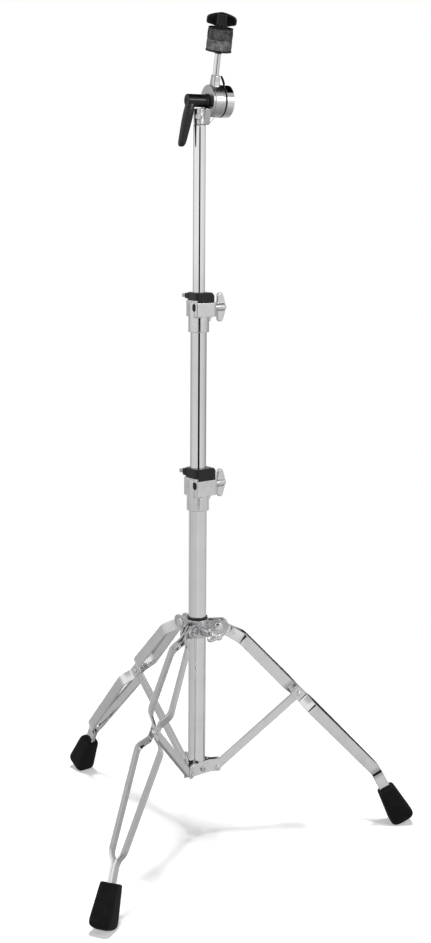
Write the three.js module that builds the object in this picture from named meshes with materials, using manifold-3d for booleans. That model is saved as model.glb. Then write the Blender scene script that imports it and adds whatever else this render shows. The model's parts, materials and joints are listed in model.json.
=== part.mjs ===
// A straight cymbal stand: a folding double-braced tripod, three telescoping tubes held by two
// clamps with memory locks, and a tilter with a friction drum that carries the cymbal rod.
// Millimetres, +Z up. The origin is the middle of the footprint on the floor.

import * as THREE from 'three';
import { mergeVertices } from 'three/addons/utils/BufferGeometryUtils.js';
import Module from 'manifold-3d';

const wasm = await Module();
wasm.setup();

// Driving dimensions: counts and fits
const LEG_COUNT = 3;
const TUBE_STEPS = 24;
const SMALL_STEPS = 12;
const DRUM_STEPS = 32;
const CORNER_STEPS = 3;
const CUT_OVERRUN = 2;
const SEAT_GAP = 0.3;
const BORE_GAP = 0.3;
const SLIDE_GAP = 0.25;
const PIN_GAP = 0.3;
const MERGE_TOLERANCE = 1e-4;
const HEX_SIDES = 6;
const HEAD_CROWN_SHARE = 0.8;

// Driving dimensions: the three tubes
const BASE_TUBE_RADIUS = 14.3;
const MIDDLE_TUBE_RADIUS = 12.7;
const UPPER_TUBE_RADIUS = 9.525;
const TUBE_WALL = 1.2;
const BASE_TUBE_BOTTOM = 112;
const BASE_TUBE_TOP = 576;
const MIDDLE_TUBE_LENGTH = 518.7;
const MIDDLE_TUBE_RISE = 282.7;
const UPPER_TUBE_LENGTH = 586;
const UPPER_TUBE_RISE = 287.3;
const GRIP_ABOVE_JOINT = 64;
const GRIP_BELOW_END = 44;

// Driving dimensions: the tripod's linkage, in the upright plane of one leg
const PIVOT_RADIUS = 33;
const LOWER_PIVOT_HEIGHT = 117.4;
const PIVOT_HALF_HEIGHT = 120.9;
const BAR_LENGTH = 181.2;
const UPPER_BEND_RADIUS = 72;
const LOWER_BEND_ABOVE_FOOT = 35.04;
const LEG_SLOPE_SHARE = 1.05;
const LEG_END_SLOPE = THREE.MathUtils.degToRad(62);
const LEG_IN_FOOT = 24;

// Driving dimensions: the legs' channel strips
const STRIP_WEB = 18.5;
const STRIP_FLANGE = 3.9;
const STRIP_WALL = 1.2;
const STRIP_LIP = 0.1;
const STRIP_ROUND_SHARES = [0.9, 0.6, 0.25];
const STRIP_HINGE_HALF = 5;
const STRIP_FOOT_HALF = 4.05;
const STRIP_MID_HALF = 5.3;
const NOTCH_RAMP = 4;
const HINGE_PINCH_REACH = 22;
const UPPER_LOBE_START_HALF = 15;
const UPPER_LOBE_END_HALF = 19.5;
const UPPER_LOBE_END_BEFORE = 30;
const MID_PINCH_REACH = 10;
const LOWER_LOBE_START_HALF = 22;
const LOWER_LOBE_START_AFTER = 27;
const LOWER_LOBE_END_HALF = 12.3;
const LOWER_LOBE_END_BEFORE = 2.5;
const FOOT_PINCH_AFTER = 10.5;

// Driving dimensions: braces, pins and rivets
const BRACE_DEPTH = 12.8;
const BRACE_WIDTH = 7.6;
const BRACE_WALL = 1.4;
const PIN_RADIUS = 2.5;
const PIN_HEAD_RADIUS = 4;
const PIN_HEAD_HEIGHT = 1.6;
const HINGE_HEAD_RADIUS = 7.5;
const HINGE_HEAD_HEIGHT = 2.2;

// Driving dimensions: the bottom bracket
const PLATE_WALL = 2.3;
const PLATE_BELOW_PIVOT = 6.7;
const PLATE_ABOVE_PIVOT = 13.9;
const PLATE_SCREW_RISE = 1.6;
const PLATE_EAR_REACH = 6.5;
const PLATE_CORNER = 2.2;
const PLATE_SCREW_RADIUS = 2.5;
const PLATE_SCREW_HEAD_RADIUS = 4.2;
const PLATE_SCREW_HEAD_HEIGHT = 2.4;
const PLATE_SCREW_SOCKET_RADIUS = 2.1;
const PLATE_SCREW_SOCKET_DEPTH = 1.4;

// Driving dimensions: the sliding collar
const COLLAR_RADIUS = 18;
const COLLAR_HEIGHT = 29;
const COLLAR_BELOW_PIVOT = 15.5;
const COLLAR_BUSH_WALL = 0.9;
const COLLAR_FLANGE_RADIUS = 16.4;
const COLLAR_FLANGE_HEIGHT = 3.5;
const EAR_WALL = 4;
const EAR_RADIUS = 9.8;
const EAR_RISE = 1;
const EAR_OUT = 7.5;
const COLLAR_BOSS_RADIUS = 8;
const COLLAR_BOSS_REACH = 36;
const COLLAR_SCREW_RISE = 12;
const COLLAR_WING_START = 45;

// Driving dimensions: wing screws
const WING_SHANK_RADIUS = 4;
const WING_HUB_RADIUS = 6.6;
const WING_LENGTH = 14.5;
const WING_HALF_SPAN = 22.5;
const COLLAR_WING_HALF_SPAN = 18;
const COLLAR_WING_TURN = THREE.MathUtils.degToRad(-72);
const WING_THICKNESS = 5;
const WING_TIP_LENGTH = 8.2;
const WING_NECK_RADIUS = 5.2;
const WING_NECK_LENGTH = 3;

// Driving dimensions: the two clamps and their memory locks
const SLEEVE_WALL = 3.5;
const SLEEVE_HEIGHT = 24;
const CLAMP_BACK_MARGIN = 1.7;
const CLAMP_CORNER = 5;
const CLAMP_FILLET = 7;
const RIDGE_HEIGHT = 4;
const RIDGE_WALL = 3;
const BOSS_HALF_WIDTH = 9.5;
const BOSS_LENGTH = 7.2;
const SCREW_RISE = 2.5;
const WINDOW_WIDTH = 7.4;
const WINDOW_HEIGHT = 12.4;
const LUG_INSET = 1.4;
const LOCK_CORNER = 5;
const LOCK_END_SHARE = 0.3;
const LOCK_BACK_SHARE = 0.85;
const LOCK_SLIT = 1.4;
const LOCK_EAR_REACH = 4.4;
const LOCK_EAR_LENGTH = 9;
const LOCK_EAR_TOP_SHARE = 0.8;
const LOCK_EAR_MARGIN_SHARE = 0.125;
const LOCK_BOLT_RADIUS = 2.2;
const LOCK_BOLT_INSET = 3.85;
const LOCK_BOLT_HEAD_RADIUS = 4;
const LOCK_BOLT_HEAD_HEIGHT = 1.6;
const LOCK_BOLT_SQUARE = 5.6;
const LOCK_BOLT_SQUARE_LENGTH = 6.5;
const LOCK_BOLT_BELOW_SLIT = 3.5;

const MIDDLE_TUBE_TOP = BASE_TUBE_TOP + MIDDLE_TUBE_RISE;

const LOWER_CLAMP = {
  tubeTop: BASE_TUBE_TOP,
  turn: THREE.MathUtils.degToRad(30),
  bodyHeight: 25,
  bodyReach: 24,
  lockHeight: 15.4,
  wingStart: 38,
  windowRise: 2.9,
  windowTurn: THREE.MathUtils.degToRad(-142),
};
const UPPER_CLAMP = {
  tubeTop: MIDDLE_TUBE_TOP,
  turn: THREE.MathUtils.degToRad(24),
  bodyHeight: 21.5,
  bodyReach: 20.5,
  lockHeight: 12,
  wingStart: 32.5,
  windowRise: 1.3,
  windowTurn: THREE.MathUtils.degToRad(-146),
};

// Driving dimensions: feet
const FOOT_TOP_HALF = 14;
const FOOT_TOP_HEIGHT = 62;
const FOOT_BELOW_FLOOR = 0.35;
const FOOT_SQUARE_SHARE = 0.62;
const FOOT_STEPS = 16;

// Driving dimensions: the tilter, measured from the tube's axis along the drum's axis
const TILTER_TURN = THREE.MathUtils.degToRad(18.5);
const TILT = THREE.MathUtils.degToRad(13.5);
const DRUM_ABOVE_TUBE = 37;
const DRUM_RADIUS = 24;
const DRUM_EDGE = 0.8;
const PLATE_START = 12.4;
const PLATE_THICKNESS = 3.2;
const HOLDER_THICKNESS = 17.2;
const WASHER_THICKNESS = 1.4;
const CAP_THICKNESS = 12.2;
const ROD_OFFSET = 22.2;
const SOCKET_RADIUS = 9.1;
const SOCKET_BORE_RADIUS = 5.3;
const WEB_TOP_HALF = 16;
const WEB_BOTTOM_HALF = 7.5;
const PLUG_DEPTH = 22;
const PLUG_FLANGE = 1.2;
const POST_RADIUS = 5;
const SOCKET_TOP_WALL = 2.6;
const KEY_SCREW_TURN = THREE.MathUtils.degToRad(-126);
const KEY_SCREW_RADIUS = 2.4;
const KEY_SCREW_HEAD_RADIUS = 4.4;
const KEY_SCREW_HEAD_HEIGHT = 2.2;
const KEY_SCREW_SOCKET_RADIUS = 2.2;
const KEY_SCREW_ABOVE_TUBE = 13.5;
const TILTER_BOLT_RADIUS = 4;
const TILTER_BOLT_HEAD_RADIUS = 6.5;
const TILTER_BOLT_HEAD_HEIGHT = 5;
const TILTER_BOLT_END = -2.5;
const CAP_RECESS_DEPTH = 6.2;
const CAP_RECESS_RADIUS = 8.4;
const FINGER_WIDTH = 4;
const FINGER_REACH = 37;
const FINGER_START = THREE.MathUtils.degToRad(132);
const FINGER_END = THREE.MathUtils.degToRad(96);
const FINGER_STEPS = 6;

// Driving dimensions: the neck and the cymbal rod, measured along the rod from the drum's axis
const NECK_THICKNESS = 12;
const NECK_TOP_HALF = 6.6;
const NECK_BOTTOM_HALF = 11;
const NECK_TOP = 38.5;
const NECK_ROOT = 16.8;
const ROD_RADIUS = 4.7;
const ROD_THREAD_RADIUS = 4;
const ROD_START = 10;
const ROD_SHOULDER = 71;
const ROD_END_GAP = 1;
const SEAT_RADIUS = 19.6;
const SEAT_THICKNESS = 2.2;
const SEAT_NUB_RADIUS = 6.6;
const SEAT_NUB_HEIGHT = 2.4;
const SLEEVE_TUBE_RADIUS = 6.2;
const FELT_RADIUS = 19;
const FELT_THICKNESS = 15;
const FELT_EDGE = 1.25;
const FELT_GAP = 0.3;
const TOP_WASHER_RADIUS = 18.8;
const TOP_WASHER_THICKNESS = 1.5;
const NUT_HUB_RADIUS = 6.6;
const NUT_HEIGHT = 21;
const NUT_FLUTES = 8;
const NUT_FLUTE_SHARE = 0.12;
const NUT_HALF_SPAN = 21.9;
const NUT_WING_HALF_HEIGHT = 8;
const NUT_WING_MIDDLE = 12.6;
const NUT_WING_THICKNESS = 7;
const NUT_STEPS_PER_FLUTE = 4;
const NUT_ROOT_SHARE = 0.62;
const NUT_TIP_LOW_SHARE = 0.7;
const NUT_TIP_HIGH_SHARE = 0.3;
const NUT_TURN = THREE.MathUtils.degToRad(-22);
const NUT_BORE_TOP_WALL = 4;

// Driving dimensions: the ratchet lever
const LEVER_HUB_RADIUS = 9.6;
const LEVER_COLLAR_RADIUS = 11;
const LEVER_COLLAR_LENGTH = 2.6;
const LEVER_HUB_END = -22;
const LEVER_BORE_RADIUS = 6.9;
const LEVER_END_WALL = 4;
const LEVER_SCREW_HEAD_RADIUS = 4.4;
const LEVER_SCREW_HEAD_HEIGHT = 1.6;
const LEVER_SCREW_RADIUS = 2;
const LEVER_SCREW_RECESS = 2;
const LEVER_ARM_LENGTH = 68;
const LEVER_ARM_LEAN = 16;
const LEVER_ARM_ROOT = -16.6;
const LEVER_ARM_HALF_THICKNESS = 4.7;
const LEVER_ARM_HALF_WIDTH = 8.8;
const LEVER_ARM_STEPS = 12;
const LEVER_SQUARE_SHARE = 0.7;
const LEVER_LEAN_START_SHARE = 0.12;
const INSERT_RADIUS = 6.3;
const INSERT_TEETH = 12;
const INSERT_TOOTH_SHARE = 0.06;
const INSERT_START = -8;
const INSERT_WALL = 5;
const SPRING_COIL_RADIUS = 5.2;
const SPRING_WIRE_RADIUS = 0.55;
const SPRING_TURNS = 4;
const SPRING_STEPS_PER_TURN = 8;
const SPRING_WIRE_SIDES = 5;

// Worked out from the sizes above
const QUARTER = Math.PI / 2;
const LEG_STEP = (2 * Math.PI) / LEG_COUNT;
const MID_HEIGHT = LOWER_PIVOT_HEIGHT + PIVOT_HALF_HEIGHT;
const PLATE_SCREW_HEIGHT = LOWER_PIVOT_HEIGHT + PLATE_SCREW_RISE;
const UPPER_PIVOT_HEIGHT = MID_HEIGHT + PIVOT_HALF_HEIGHT;
const MID_RADIUS = PIVOT_RADIUS + Math.sqrt(BAR_LENGTH ** 2 - PIVOT_HALF_HEIGHT ** 2);
const UPPER_BEND_HEIGHT = MID_HEIGHT + LEG_SLOPE_SHARE * (MID_RADIUS - UPPER_BEND_RADIUS);
const LOWER_BEND_HEIGHT = FOOT_TOP_HEIGHT + LOWER_BEND_ABOVE_FOOT;
const LOWER_BEND_RADIUS = MID_RADIUS + (MID_HEIGHT - LOWER_BEND_HEIGHT) / LEG_SLOPE_SHARE;
const MIDDLE_TUBE_BOTTOM = MIDDLE_TUBE_TOP - MIDDLE_TUBE_LENGTH;
const UPPER_TUBE_TOP = MIDDLE_TUBE_TOP + UPPER_TUBE_RISE;
const UPPER_TUBE_BOTTOM = UPPER_TUBE_TOP - UPPER_TUBE_LENGTH;
const DRUM_HEIGHT = UPPER_TUBE_TOP + DRUM_ABOVE_TUBE;
const EAR_INNER = STRIP_HINGE_HALF + PIN_GAP;
const EAR_OUTER = EAR_INNER + EAR_WALL;
const BRACKET_INNER = BRACE_WIDTH / 2 + PIN_GAP;
const BRACKET_OUTER = BRACKET_INNER + PLATE_WALL;
const HOLDER_START = PLATE_START + PLATE_THICKNESS + SEAT_GAP;
const WASHER_START = HOLDER_START + HOLDER_THICKNESS + SEAT_GAP;
const CAP_START = WASHER_START + WASHER_THICKNESS + SEAT_GAP;
const CAP_END = CAP_START + CAP_THICKNESS;

// Materials
function finish(color, roughness, metalness) {
  return new THREE.MeshStandardMaterial({ color, roughness, metalness });
}

const CHROME = finish(0xcfd2d6, 0.18, 1);
const CAST_CHROME = finish(0xc4c7cb, 0.28, 1);
const STEEL = finish(0xa9acb1, 0.35, 1);
const BLACK_NYLON = finish(0x151516, 0.45, 0);
const RUBBER = finish(0x101011, 0.8, 0);
const GREY_FELT = finish(0x55565a, 0.95, 0);

// Shapes: every helper gives a plain geometry, and solidOf makes it ready to join and cut
function bareTriangles(geometry) {
  const loose = geometry.index ? geometry.toNonIndexed() : geometry.clone();
  loose.deleteAttribute('normal');
  loose.deleteAttribute('uv');
  const merged = mergeVertices(loose, MERGE_TOLERANCE);
  const corners = merged.index.array;
  const kept = [];
  for (let i = 0; i < corners.length; i += 3) {
    const [a, b, c] = [corners[i], corners[i + 1], corners[i + 2]];
    if (a !== b && b !== c && c !== a) {
      kept.push(a, b, c);
    }
  }
  return { points: new Float32Array(merged.attributes.position.array), kept };
}

function signedVolume(points, kept) {
  const [a, b, c] = [new THREE.Vector3(), new THREE.Vector3(), new THREE.Vector3()];
  let total = 0;
  for (let i = 0; i < kept.length; i += 3) {
    a.fromArray(points, 3 * kept[i]);
    b.fromArray(points, 3 * kept[i + 1]);
    c.fromArray(points, 3 * kept[i + 2]);
    total += a.dot(b.cross(c)) / 6;
  }
  return total;
}

function solidOf(geometry) {
  const { points, kept } = bareTriangles(geometry);
  if (signedVolume(points, kept) < 0) {
    kept.reverse();
  }
  return new wasm.Manifold(new wasm.Mesh({
    numProp: 3,
    vertProperties: points,
    triVerts: new Uint32Array(kept),
  }));
}

function join(...geometries) {
  return geometries.map(asSolid).reduce((whole, next) => whole.add(next));
}

function cut(from, ...geometries) {
  return geometries.map(asSolid).reduce((whole, next) => whole.subtract(next), asSolid(from));
}

function asSolid(shape) {
  return shape instanceof THREE.BufferGeometry ? solidOf(shape) : shape;
}

function geometryOf(shape) {
  const mesh = asSolid(shape).getMesh();
  const geometry = new THREE.BufferGeometry();
  const points = new Float32Array(mesh.vertProperties.length / mesh.numProp * 3);
  for (let i = 0; i < points.length / 3; i += 1) {
    points.set(mesh.vertProperties.subarray(i * mesh.numProp, i * mesh.numProp + 3), 3 * i);
  }
  geometry.setAttribute('position', new THREE.BufferAttribute(points, 3));
  geometry.setIndex(new THREE.BufferAttribute(new Uint32Array(mesh.triVerts), 1));
  return geometry;
}

function piece(name, shape, material) {
  const mesh = new THREE.Mesh(geometryOf(shape), material);
  mesh.name = name;
  return mesh;
}

function moved(geometry, x, y, z) {
  return geometry.translate(x, y, z);
}

function alongX(geometry) {
  return geometry.rotateY(QUARTER);
}

function alongY(geometry) {
  return geometry.rotateX(-QUARTER);
}

function turned(profile, steps = TUBE_STEPS) {
  const points = profile.map(([radius, height]) => new THREE.Vector2(radius, height));
  return new THREE.LatheGeometry(points, steps).rotateX(QUARTER);
}

function disc(radius, from, to, steps = SMALL_STEPS) {
  return turned([[0, from], [radius, from], [radius, to], [0, to]], steps);
}

function ring(outer, inner, from, to, steps = TUBE_STEPS) {
  return turned([[inner, from], [outer, from], [outer, to], [inner, to], [inner, from]], steps);
}

function edgedDisc(radius, edge, from, to, steps) {
  return turned([
    [0, from],
    [radius - edge, from],
    [radius, from + edge],
    [radius, to - edge],
    [radius - edge, to],
    [0, to],
  ], steps);
}

function block(x0, x1, y0, y1, z0, z1) {
  const geometry = new THREE.BoxGeometry(x1 - x0, y1 - y0, z1 - z0);
  return moved(geometry, (x0 + x1) / 2, (y0 + y1) / 2, (z0 + z1) / 2);
}

function outline(corners, radius = 0) {
  const points = [];
  corners.forEach((corner, i) => {
    const here = new THREE.Vector2(...corner);
    const before = new THREE.Vector2(...corners.at(i - 1)).sub(here);
    const after = new THREE.Vector2(...corners[(i + 1) % corners.length]).sub(here);
    const half = Math.abs(before.angleTo(after)) / 2;
    const reach = Math.min(radius / Math.tan(half), before.length() / 2, after.length() / 2);
    if (radius === 0) {
      points.push(here);
      return;
    }
    const arcRadius = reach * Math.tan(half);
    const middle = before.clone().normalize().add(after.clone().normalize()).normalize();
    const centre = here.clone().addScaledVector(middle, arcRadius / Math.sin(half));
    const start = here.clone().addScaledVector(before.normalize(), reach).sub(centre);
    const end = here.clone().addScaledVector(after.normalize(), reach).sub(centre);
    let sweep = end.angle() - start.angle();
    sweep -= 2 * Math.PI * Math.round(sweep / (2 * Math.PI));
    for (let k = 0; k <= CORNER_STEPS; k += 1) {
      const angle = start.angle() + (sweep * k) / CORNER_STEPS;
      const spoke = new THREE.Vector2(Math.cos(angle), Math.sin(angle));
      points.push(spoke.multiplyScalar(arcRadius).add(centre));
    }
  });
  return points;
}

function prism(points, from, to) {
  const options = { depth: to - from, bevelEnabled: false };
  return moved(new THREE.ExtrudeGeometry(new THREE.Shape(points), options), 0, 0, from);
}

// An outline drawn in the upright plane of a leg, as radius and height, given a width across it
function uprightPrism(points, from, to) {
  return prism(points, -to, -from).rotateX(QUARTER);
}

// A skin over rings of points with capped ends, for shapes that change section along their length
function loft(rings, capTriangles) {
  const count = rings[0].length;
  const points = rings.flat().flatMap((point) => point.toArray());
  const index = [];
  for (let i = 0; i < rings.length - 1; i += 1) {
    for (let j = 0; j < count; j += 1) {
      const [a, b] = [i * count + j, i * count + ((j + 1) % count)];
      index.push(a, b, b + count, a, b + count, a + count);
    }
  }
  const last = (rings.length - 1) * count;
  for (const [a, b, c] of capTriangles) {
    index.push(c, b, a, last + a, last + b, last + c);
  }
  const geometry = new THREE.BufferGeometry();
  geometry.setAttribute('position', new THREE.Float32BufferAttribute(points, 3));
  geometry.setIndex(index);
  return geometry;
}

function fanTriangles(count) {
  return Array.from({ length: count - 2 }, (_, i) => [0, i + 1, i + 2]);
}

// The leg's middle line in its upright plane, with the half spread of its two strips
function legStations() {
  const mainSlope = Math.atan(LEG_SLOPE_SHARE);
  const firstSlope = Math.atan2(UPPER_PIVOT_HEIGHT - UPPER_BEND_HEIGHT, UPPER_BEND_RADIUS - PIVOT_RADIUS);
  const endLength = (LOWER_BEND_HEIGHT - FOOT_TOP_HEIGHT) / Math.sin(LEG_END_SLOPE) + LEG_IN_FOOT;
  const half = STRIP_WEB / 2;
  const upper = (reach) => ({
    x: PIVOT_RADIUS + reach * Math.cos(firstSlope),
    z: UPPER_PIVOT_HEIGHT - reach * Math.sin(firstSlope),
    slope: firstSlope,
  });
  const main = (reach) => ({
    x: MID_RADIUS + reach * Math.cos(mainSlope),
    z: MID_HEIGHT - reach * Math.sin(mainSlope),
    slope: mainSlope,
  });
  const end = (reach) => ({
    x: LOWER_BEND_RADIUS + reach * Math.cos(LEG_END_SLOPE),
    z: LOWER_BEND_HEIGHT - reach * Math.sin(LEG_END_SLOPE),
    slope: LEG_END_SLOPE,
  });
  const lowerBend = main((LOWER_BEND_RADIUS - MID_RADIUS) / Math.cos(mainSlope));
  const upperBend = main((UPPER_BEND_RADIUS - MID_RADIUS) / Math.cos(mainSlope));
  const rampAbove = NOTCH_RAMP / (UPPER_LOBE_END_BEFORE - MID_PINCH_REACH);
  const rampBelow = NOTCH_RAMP / (LOWER_LOBE_START_AFTER - MID_PINCH_REACH);
  const spreadAbove = STRIP_MID_HALF + rampAbove * (UPPER_LOBE_END_HALF - STRIP_MID_HALF);
  const spreadBelow = STRIP_MID_HALF + rampBelow * (LOWER_LOBE_START_HALF - STRIP_MID_HALF);
  const roundEnd = STRIP_ROUND_SHARES.map((share) => ({
    ...upper(-half * share),
    spread: STRIP_HINGE_HALF,
    half: half * Math.sqrt(1 - share ** 2),
  }));
  return [
    ...roundEnd,
    { ...upper(0), spread: STRIP_HINGE_HALF },
    { ...upper(HINGE_PINCH_REACH), spread: STRIP_HINGE_HALF },
    { ...upperBend, slope: (firstSlope + mainSlope) / 2, spread: UPPER_LOBE_START_HALF },
    { ...main(-UPPER_LOBE_END_BEFORE), spread: UPPER_LOBE_END_HALF },
    { ...main(-MID_PINCH_REACH - NOTCH_RAMP), spread: spreadAbove },
    { ...main(-MID_PINCH_REACH), spread: STRIP_MID_HALF, depthShare: 0 },
    { ...main(MID_PINCH_REACH), spread: STRIP_MID_HALF, depthShare: 0 },
    { ...main(MID_PINCH_REACH + NOTCH_RAMP), spread: spreadBelow },
    { ...main(LOWER_LOBE_START_AFTER), spread: LOWER_LOBE_START_HALF },
    {
      ...lowerBend,
      x: lowerBend.x - LOWER_LOBE_END_BEFORE * Math.cos(mainSlope),
      z: lowerBend.z + LOWER_LOBE_END_BEFORE * Math.sin(mainSlope),
      slope: (mainSlope + LEG_END_SLOPE) / 2,
      spread: LOWER_LOBE_END_HALF,
    },
    { ...end(FOOT_PINCH_AFTER), spread: STRIP_FOOT_HALF },
    { ...end(endLength), spread: STRIP_FOOT_HALF },
  ];
}

const STATIONS = legStations();

// One channel strip: an outer web with two flanges that face the leg's middle plane
function legStrip(side) {
  const rings = STATIONS.map((station) => {
    const { x, z, slope, spread, half = STRIP_WEB / 2, depthShare = 1 } = station;
    const normal = [Math.sin(slope), Math.cos(slope)];
    const depth = Math.max(depthShare * STRIP_FLANGE, STRIP_WALL + STRIP_LIP);
    const inner = Math.max(half - STRIP_WALL, half / 2);
    const section = [
      [half, spread],
      [half, spread - depth],
      [inner, spread - depth],
      [inner, spread - STRIP_WALL],
      [-inner, spread - STRIP_WALL],
      [-inner, spread - depth],
      [-half, spread - depth],
      [-half, spread],
    ];
    return section.map(([n, y]) => new THREE.Vector3(x + n * normal[0], side * y, z + n * normal[1]));
  });
  const caps = [[0, 1, 2], [0, 2, 3], [0, 3, 4], [0, 4, 7], [4, 5, 6], [4, 6, 7]];
  const strip = loft(rings, caps);
  const hole = STRIP_MID_HALF + CUT_OVERRUN;
  return cut(
    strip,
    moved(alongY(disc(PIN_RADIUS + PIN_GAP, -hole, hole)), PIVOT_RADIUS, 0, UPPER_PIVOT_HEIGHT),
    moved(alongY(disc(PIN_RADIUS + PIN_GAP, -hole, hole)), MID_RADIUS, 0, MID_HEIGHT),
  );
}

// The brace from the bottom bracket to the leg: a channel with its web on top and round ends
function brace() {
  const slope = Math.atan2(PIVOT_HALF_HEIGHT, MID_RADIUS - PIVOT_RADIUS);
  const half = BRACE_DEPTH / 2;
  const end = BAR_LENGTH + half;
  const side = outline([[-half, -half], [end, -half], [end, half], [-half, half]], half);
  const cavity = half - BRACE_WALL;
  const hollow = block(
    -half - CUT_OVERRUN,
    end + CUT_OVERRUN,
    -BRACE_WIDTH / 2 + BRACE_WALL,
    BRACE_WIDTH / 2 - BRACE_WALL,
    -half - CUT_OVERRUN,
    cavity,
  );
  const hole = BRACE_WIDTH / 2 + CUT_OVERRUN;
  const pinHole = () => alongY(disc(PIN_RADIUS + PIN_GAP, -hole, hole));
  const place = new THREE.Matrix4().makeRotationY(-slope);
  place.setPosition(PIVOT_RADIUS, 0, LOWER_PIVOT_HEIGHT);
  const channel = cut(
    uprightPrism(side, -BRACE_WIDTH / 2, BRACE_WIDTH / 2),
    hollow,
    pinHole(),
    moved(pinHole(), BAR_LENGTH, 0, 0),
  );
  return geometryOf(channel).applyMatrix4(place);
}

// A pin across a leg's plane with a low round head at each end
function crossPin(halfGrip, headRadius, headHeight, x, z) {
  const top = halfGrip + headHeight;
  const rim = headHeight / 2;
  const profile = [
    [0, -top],
    [headRadius / 2, -top],
    [headRadius, -top + rim],
    [headRadius, -halfGrip],
    [PIN_RADIUS, -halfGrip],
    [PIN_RADIUS, halfGrip],
    [headRadius, halfGrip],
    [headRadius, top - rim],
    [headRadius / 2, top],
    [0, top],
  ];
  return moved(alongY(turned(profile, SMALL_STEPS)), x, 0, z);
}

// A rubber foot: a tapered block with soft edges, cut flat where it stands
function foot() {
  const axisLength = (FOOT_TOP_HEIGHT + FOOT_BELOW_FLOOR) / Math.sin(LEG_END_SLOPE);
  const topX = LOWER_BEND_RADIUS + (LOWER_BEND_HEIGHT - FOOT_TOP_HEIGHT) / Math.tan(LEG_END_SLOPE);
  const stationShares = [
    [0, 0.92, 0.94],
    [0.05, 1.02, 1.04],
    [0.13, 1.12, 1.11],
    [0.38, 1.42, 1.29],
    [0.63, 1.68, 1.46],
    [0.79, 1.54, 1.34],
    [0.89, 1.22, 1.06],
    [0.957, 0.82, 0.72],
    [1, 0.36, 0.32],
  ];
  const rings = stationShares.map(([along, tall, wide]) => {
    const reach = along * axisLength;
    const points = [];
    for (let k = 0; k < FOOT_STEPS; k += 1) {
      const angle = (2 * Math.PI * k) / FOOT_STEPS;
      const squared = (value) => Math.sign(value) * Math.abs(value) ** FOOT_SQUARE_SHARE;
      const n = FOOT_TOP_HALF * tall * squared(Math.cos(angle));
      const y = FOOT_TOP_HALF * wide * squared(Math.sin(angle));
      points.push(new THREE.Vector3(
        topX + reach * Math.cos(LEG_END_SLOPE) + n * Math.sin(LEG_END_SLOPE),
        y,
        FOOT_TOP_HEIGHT - reach * Math.sin(LEG_END_SLOPE) + n * Math.cos(LEG_END_SLOPE),
      ));
    }
    return points;
  });
  const depth = LEG_IN_FOOT + SEAT_GAP;
  const pocket = block(
    -CUT_OVERRUN,
    depth,
    -STRIP_FOOT_HALF - BORE_GAP,
    STRIP_FOOT_HALF + BORE_GAP,
    -STRIP_WEB / 2 - BORE_GAP,
    STRIP_WEB / 2 + BORE_GAP,
  ).rotateY(LEG_END_SLOPE);
  moved(pocket, topX, 0, FOOT_TOP_HEIGHT);
  const reach = LOWER_BEND_RADIUS + axisLength;
  const floor = block(0, reach, -axisLength, axisLength, -axisLength, 0);
  return cut(loft(rings, fanTriangles(FOOT_STEPS)), pocket, floor);
}

// The bottom bracket: one bent plate between each two legs, with an ear along each leg
function bracketPlate() {
  const inner = BASE_TUBE_RADIUS + SEAT_GAP;
  const half = LEG_STEP / 2;
  const corner = (offset, lateral) => {
    const along = (offset - lateral * Math.sin(half)) / Math.cos(half);
    return [along, lateral];
  };
  const mirror = ([x, y]) => {
    const angle = 2 * half;
    return [x * Math.cos(angle) + y * Math.sin(angle), x * Math.sin(angle) - y * Math.cos(angle)];
  };
  const tip = PIVOT_RADIUS + PLATE_EAR_REACH;
  const oneSide = [
    corner(inner, BRACKET_INNER),
    [tip, BRACKET_INNER],
    [tip, BRACKET_OUTER],
    corner(inner + PLATE_WALL, BRACKET_OUTER),
  ];
  const points = [...oneSide, ...oneSide.map(mirror).reverse()];
  const low = LOWER_PIVOT_HEIGHT - PLATE_BELOW_PIVOT;
  const high = LOWER_PIVOT_HEIGHT + PLATE_ABOVE_PIVOT;
  const plate = solidOf(prism(points.map((point) => new THREE.Vector2(...point)), low, high));
  const hole = () => alongY(disc(PIN_RADIUS + PIN_GAP, 0, BRACKET_OUTER + CUT_OVERRUN));
  const nearHole = moved(hole(), PIVOT_RADIUS, 0, LOWER_PIVOT_HEIGHT);
  const farHole = moved(hole(), PIVOT_RADIUS, 0, LOWER_PIVOT_HEIGHT).scale(1, -1, 1).rotateZ(LEG_STEP);
  const screwHole = moved(
    alongX(disc(PLATE_SCREW_RADIUS + PIN_GAP, 0, inner + PLATE_WALL + CUT_OVERRUN)),
    0,
    0,
    PLATE_SCREW_HEIGHT,
  ).rotateZ(half);
  const earEnds = [0, LEG_STEP].map((angle) => earTrim(tip, low, high).rotateZ(angle));
  return cut(plate, nearHole, farHole, screwHole, ...earEnds);
}

// Takes the sharp corners off the ends of two ears that share a leg
function earTrim(tip, low, high) {
  const width = BRACKET_OUTER + CUT_OVERRUN;
  const frame = [
    [tip - PLATE_CORNER, low - CUT_OVERRUN],
    [tip + CUT_OVERRUN, low - CUT_OVERRUN],
    [tip + CUT_OVERRUN, high + CUT_OVERRUN],
    [tip - PLATE_CORNER, high + CUT_OVERRUN],
    [tip - PLATE_CORNER, high],
    [tip, high - PLATE_CORNER],
    [tip, low + PLATE_CORNER],
    [tip - PLATE_CORNER, low],
  ];
  return uprightPrism(frame.map((point) => new THREE.Vector2(...point)), -width, width);
}

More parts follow.
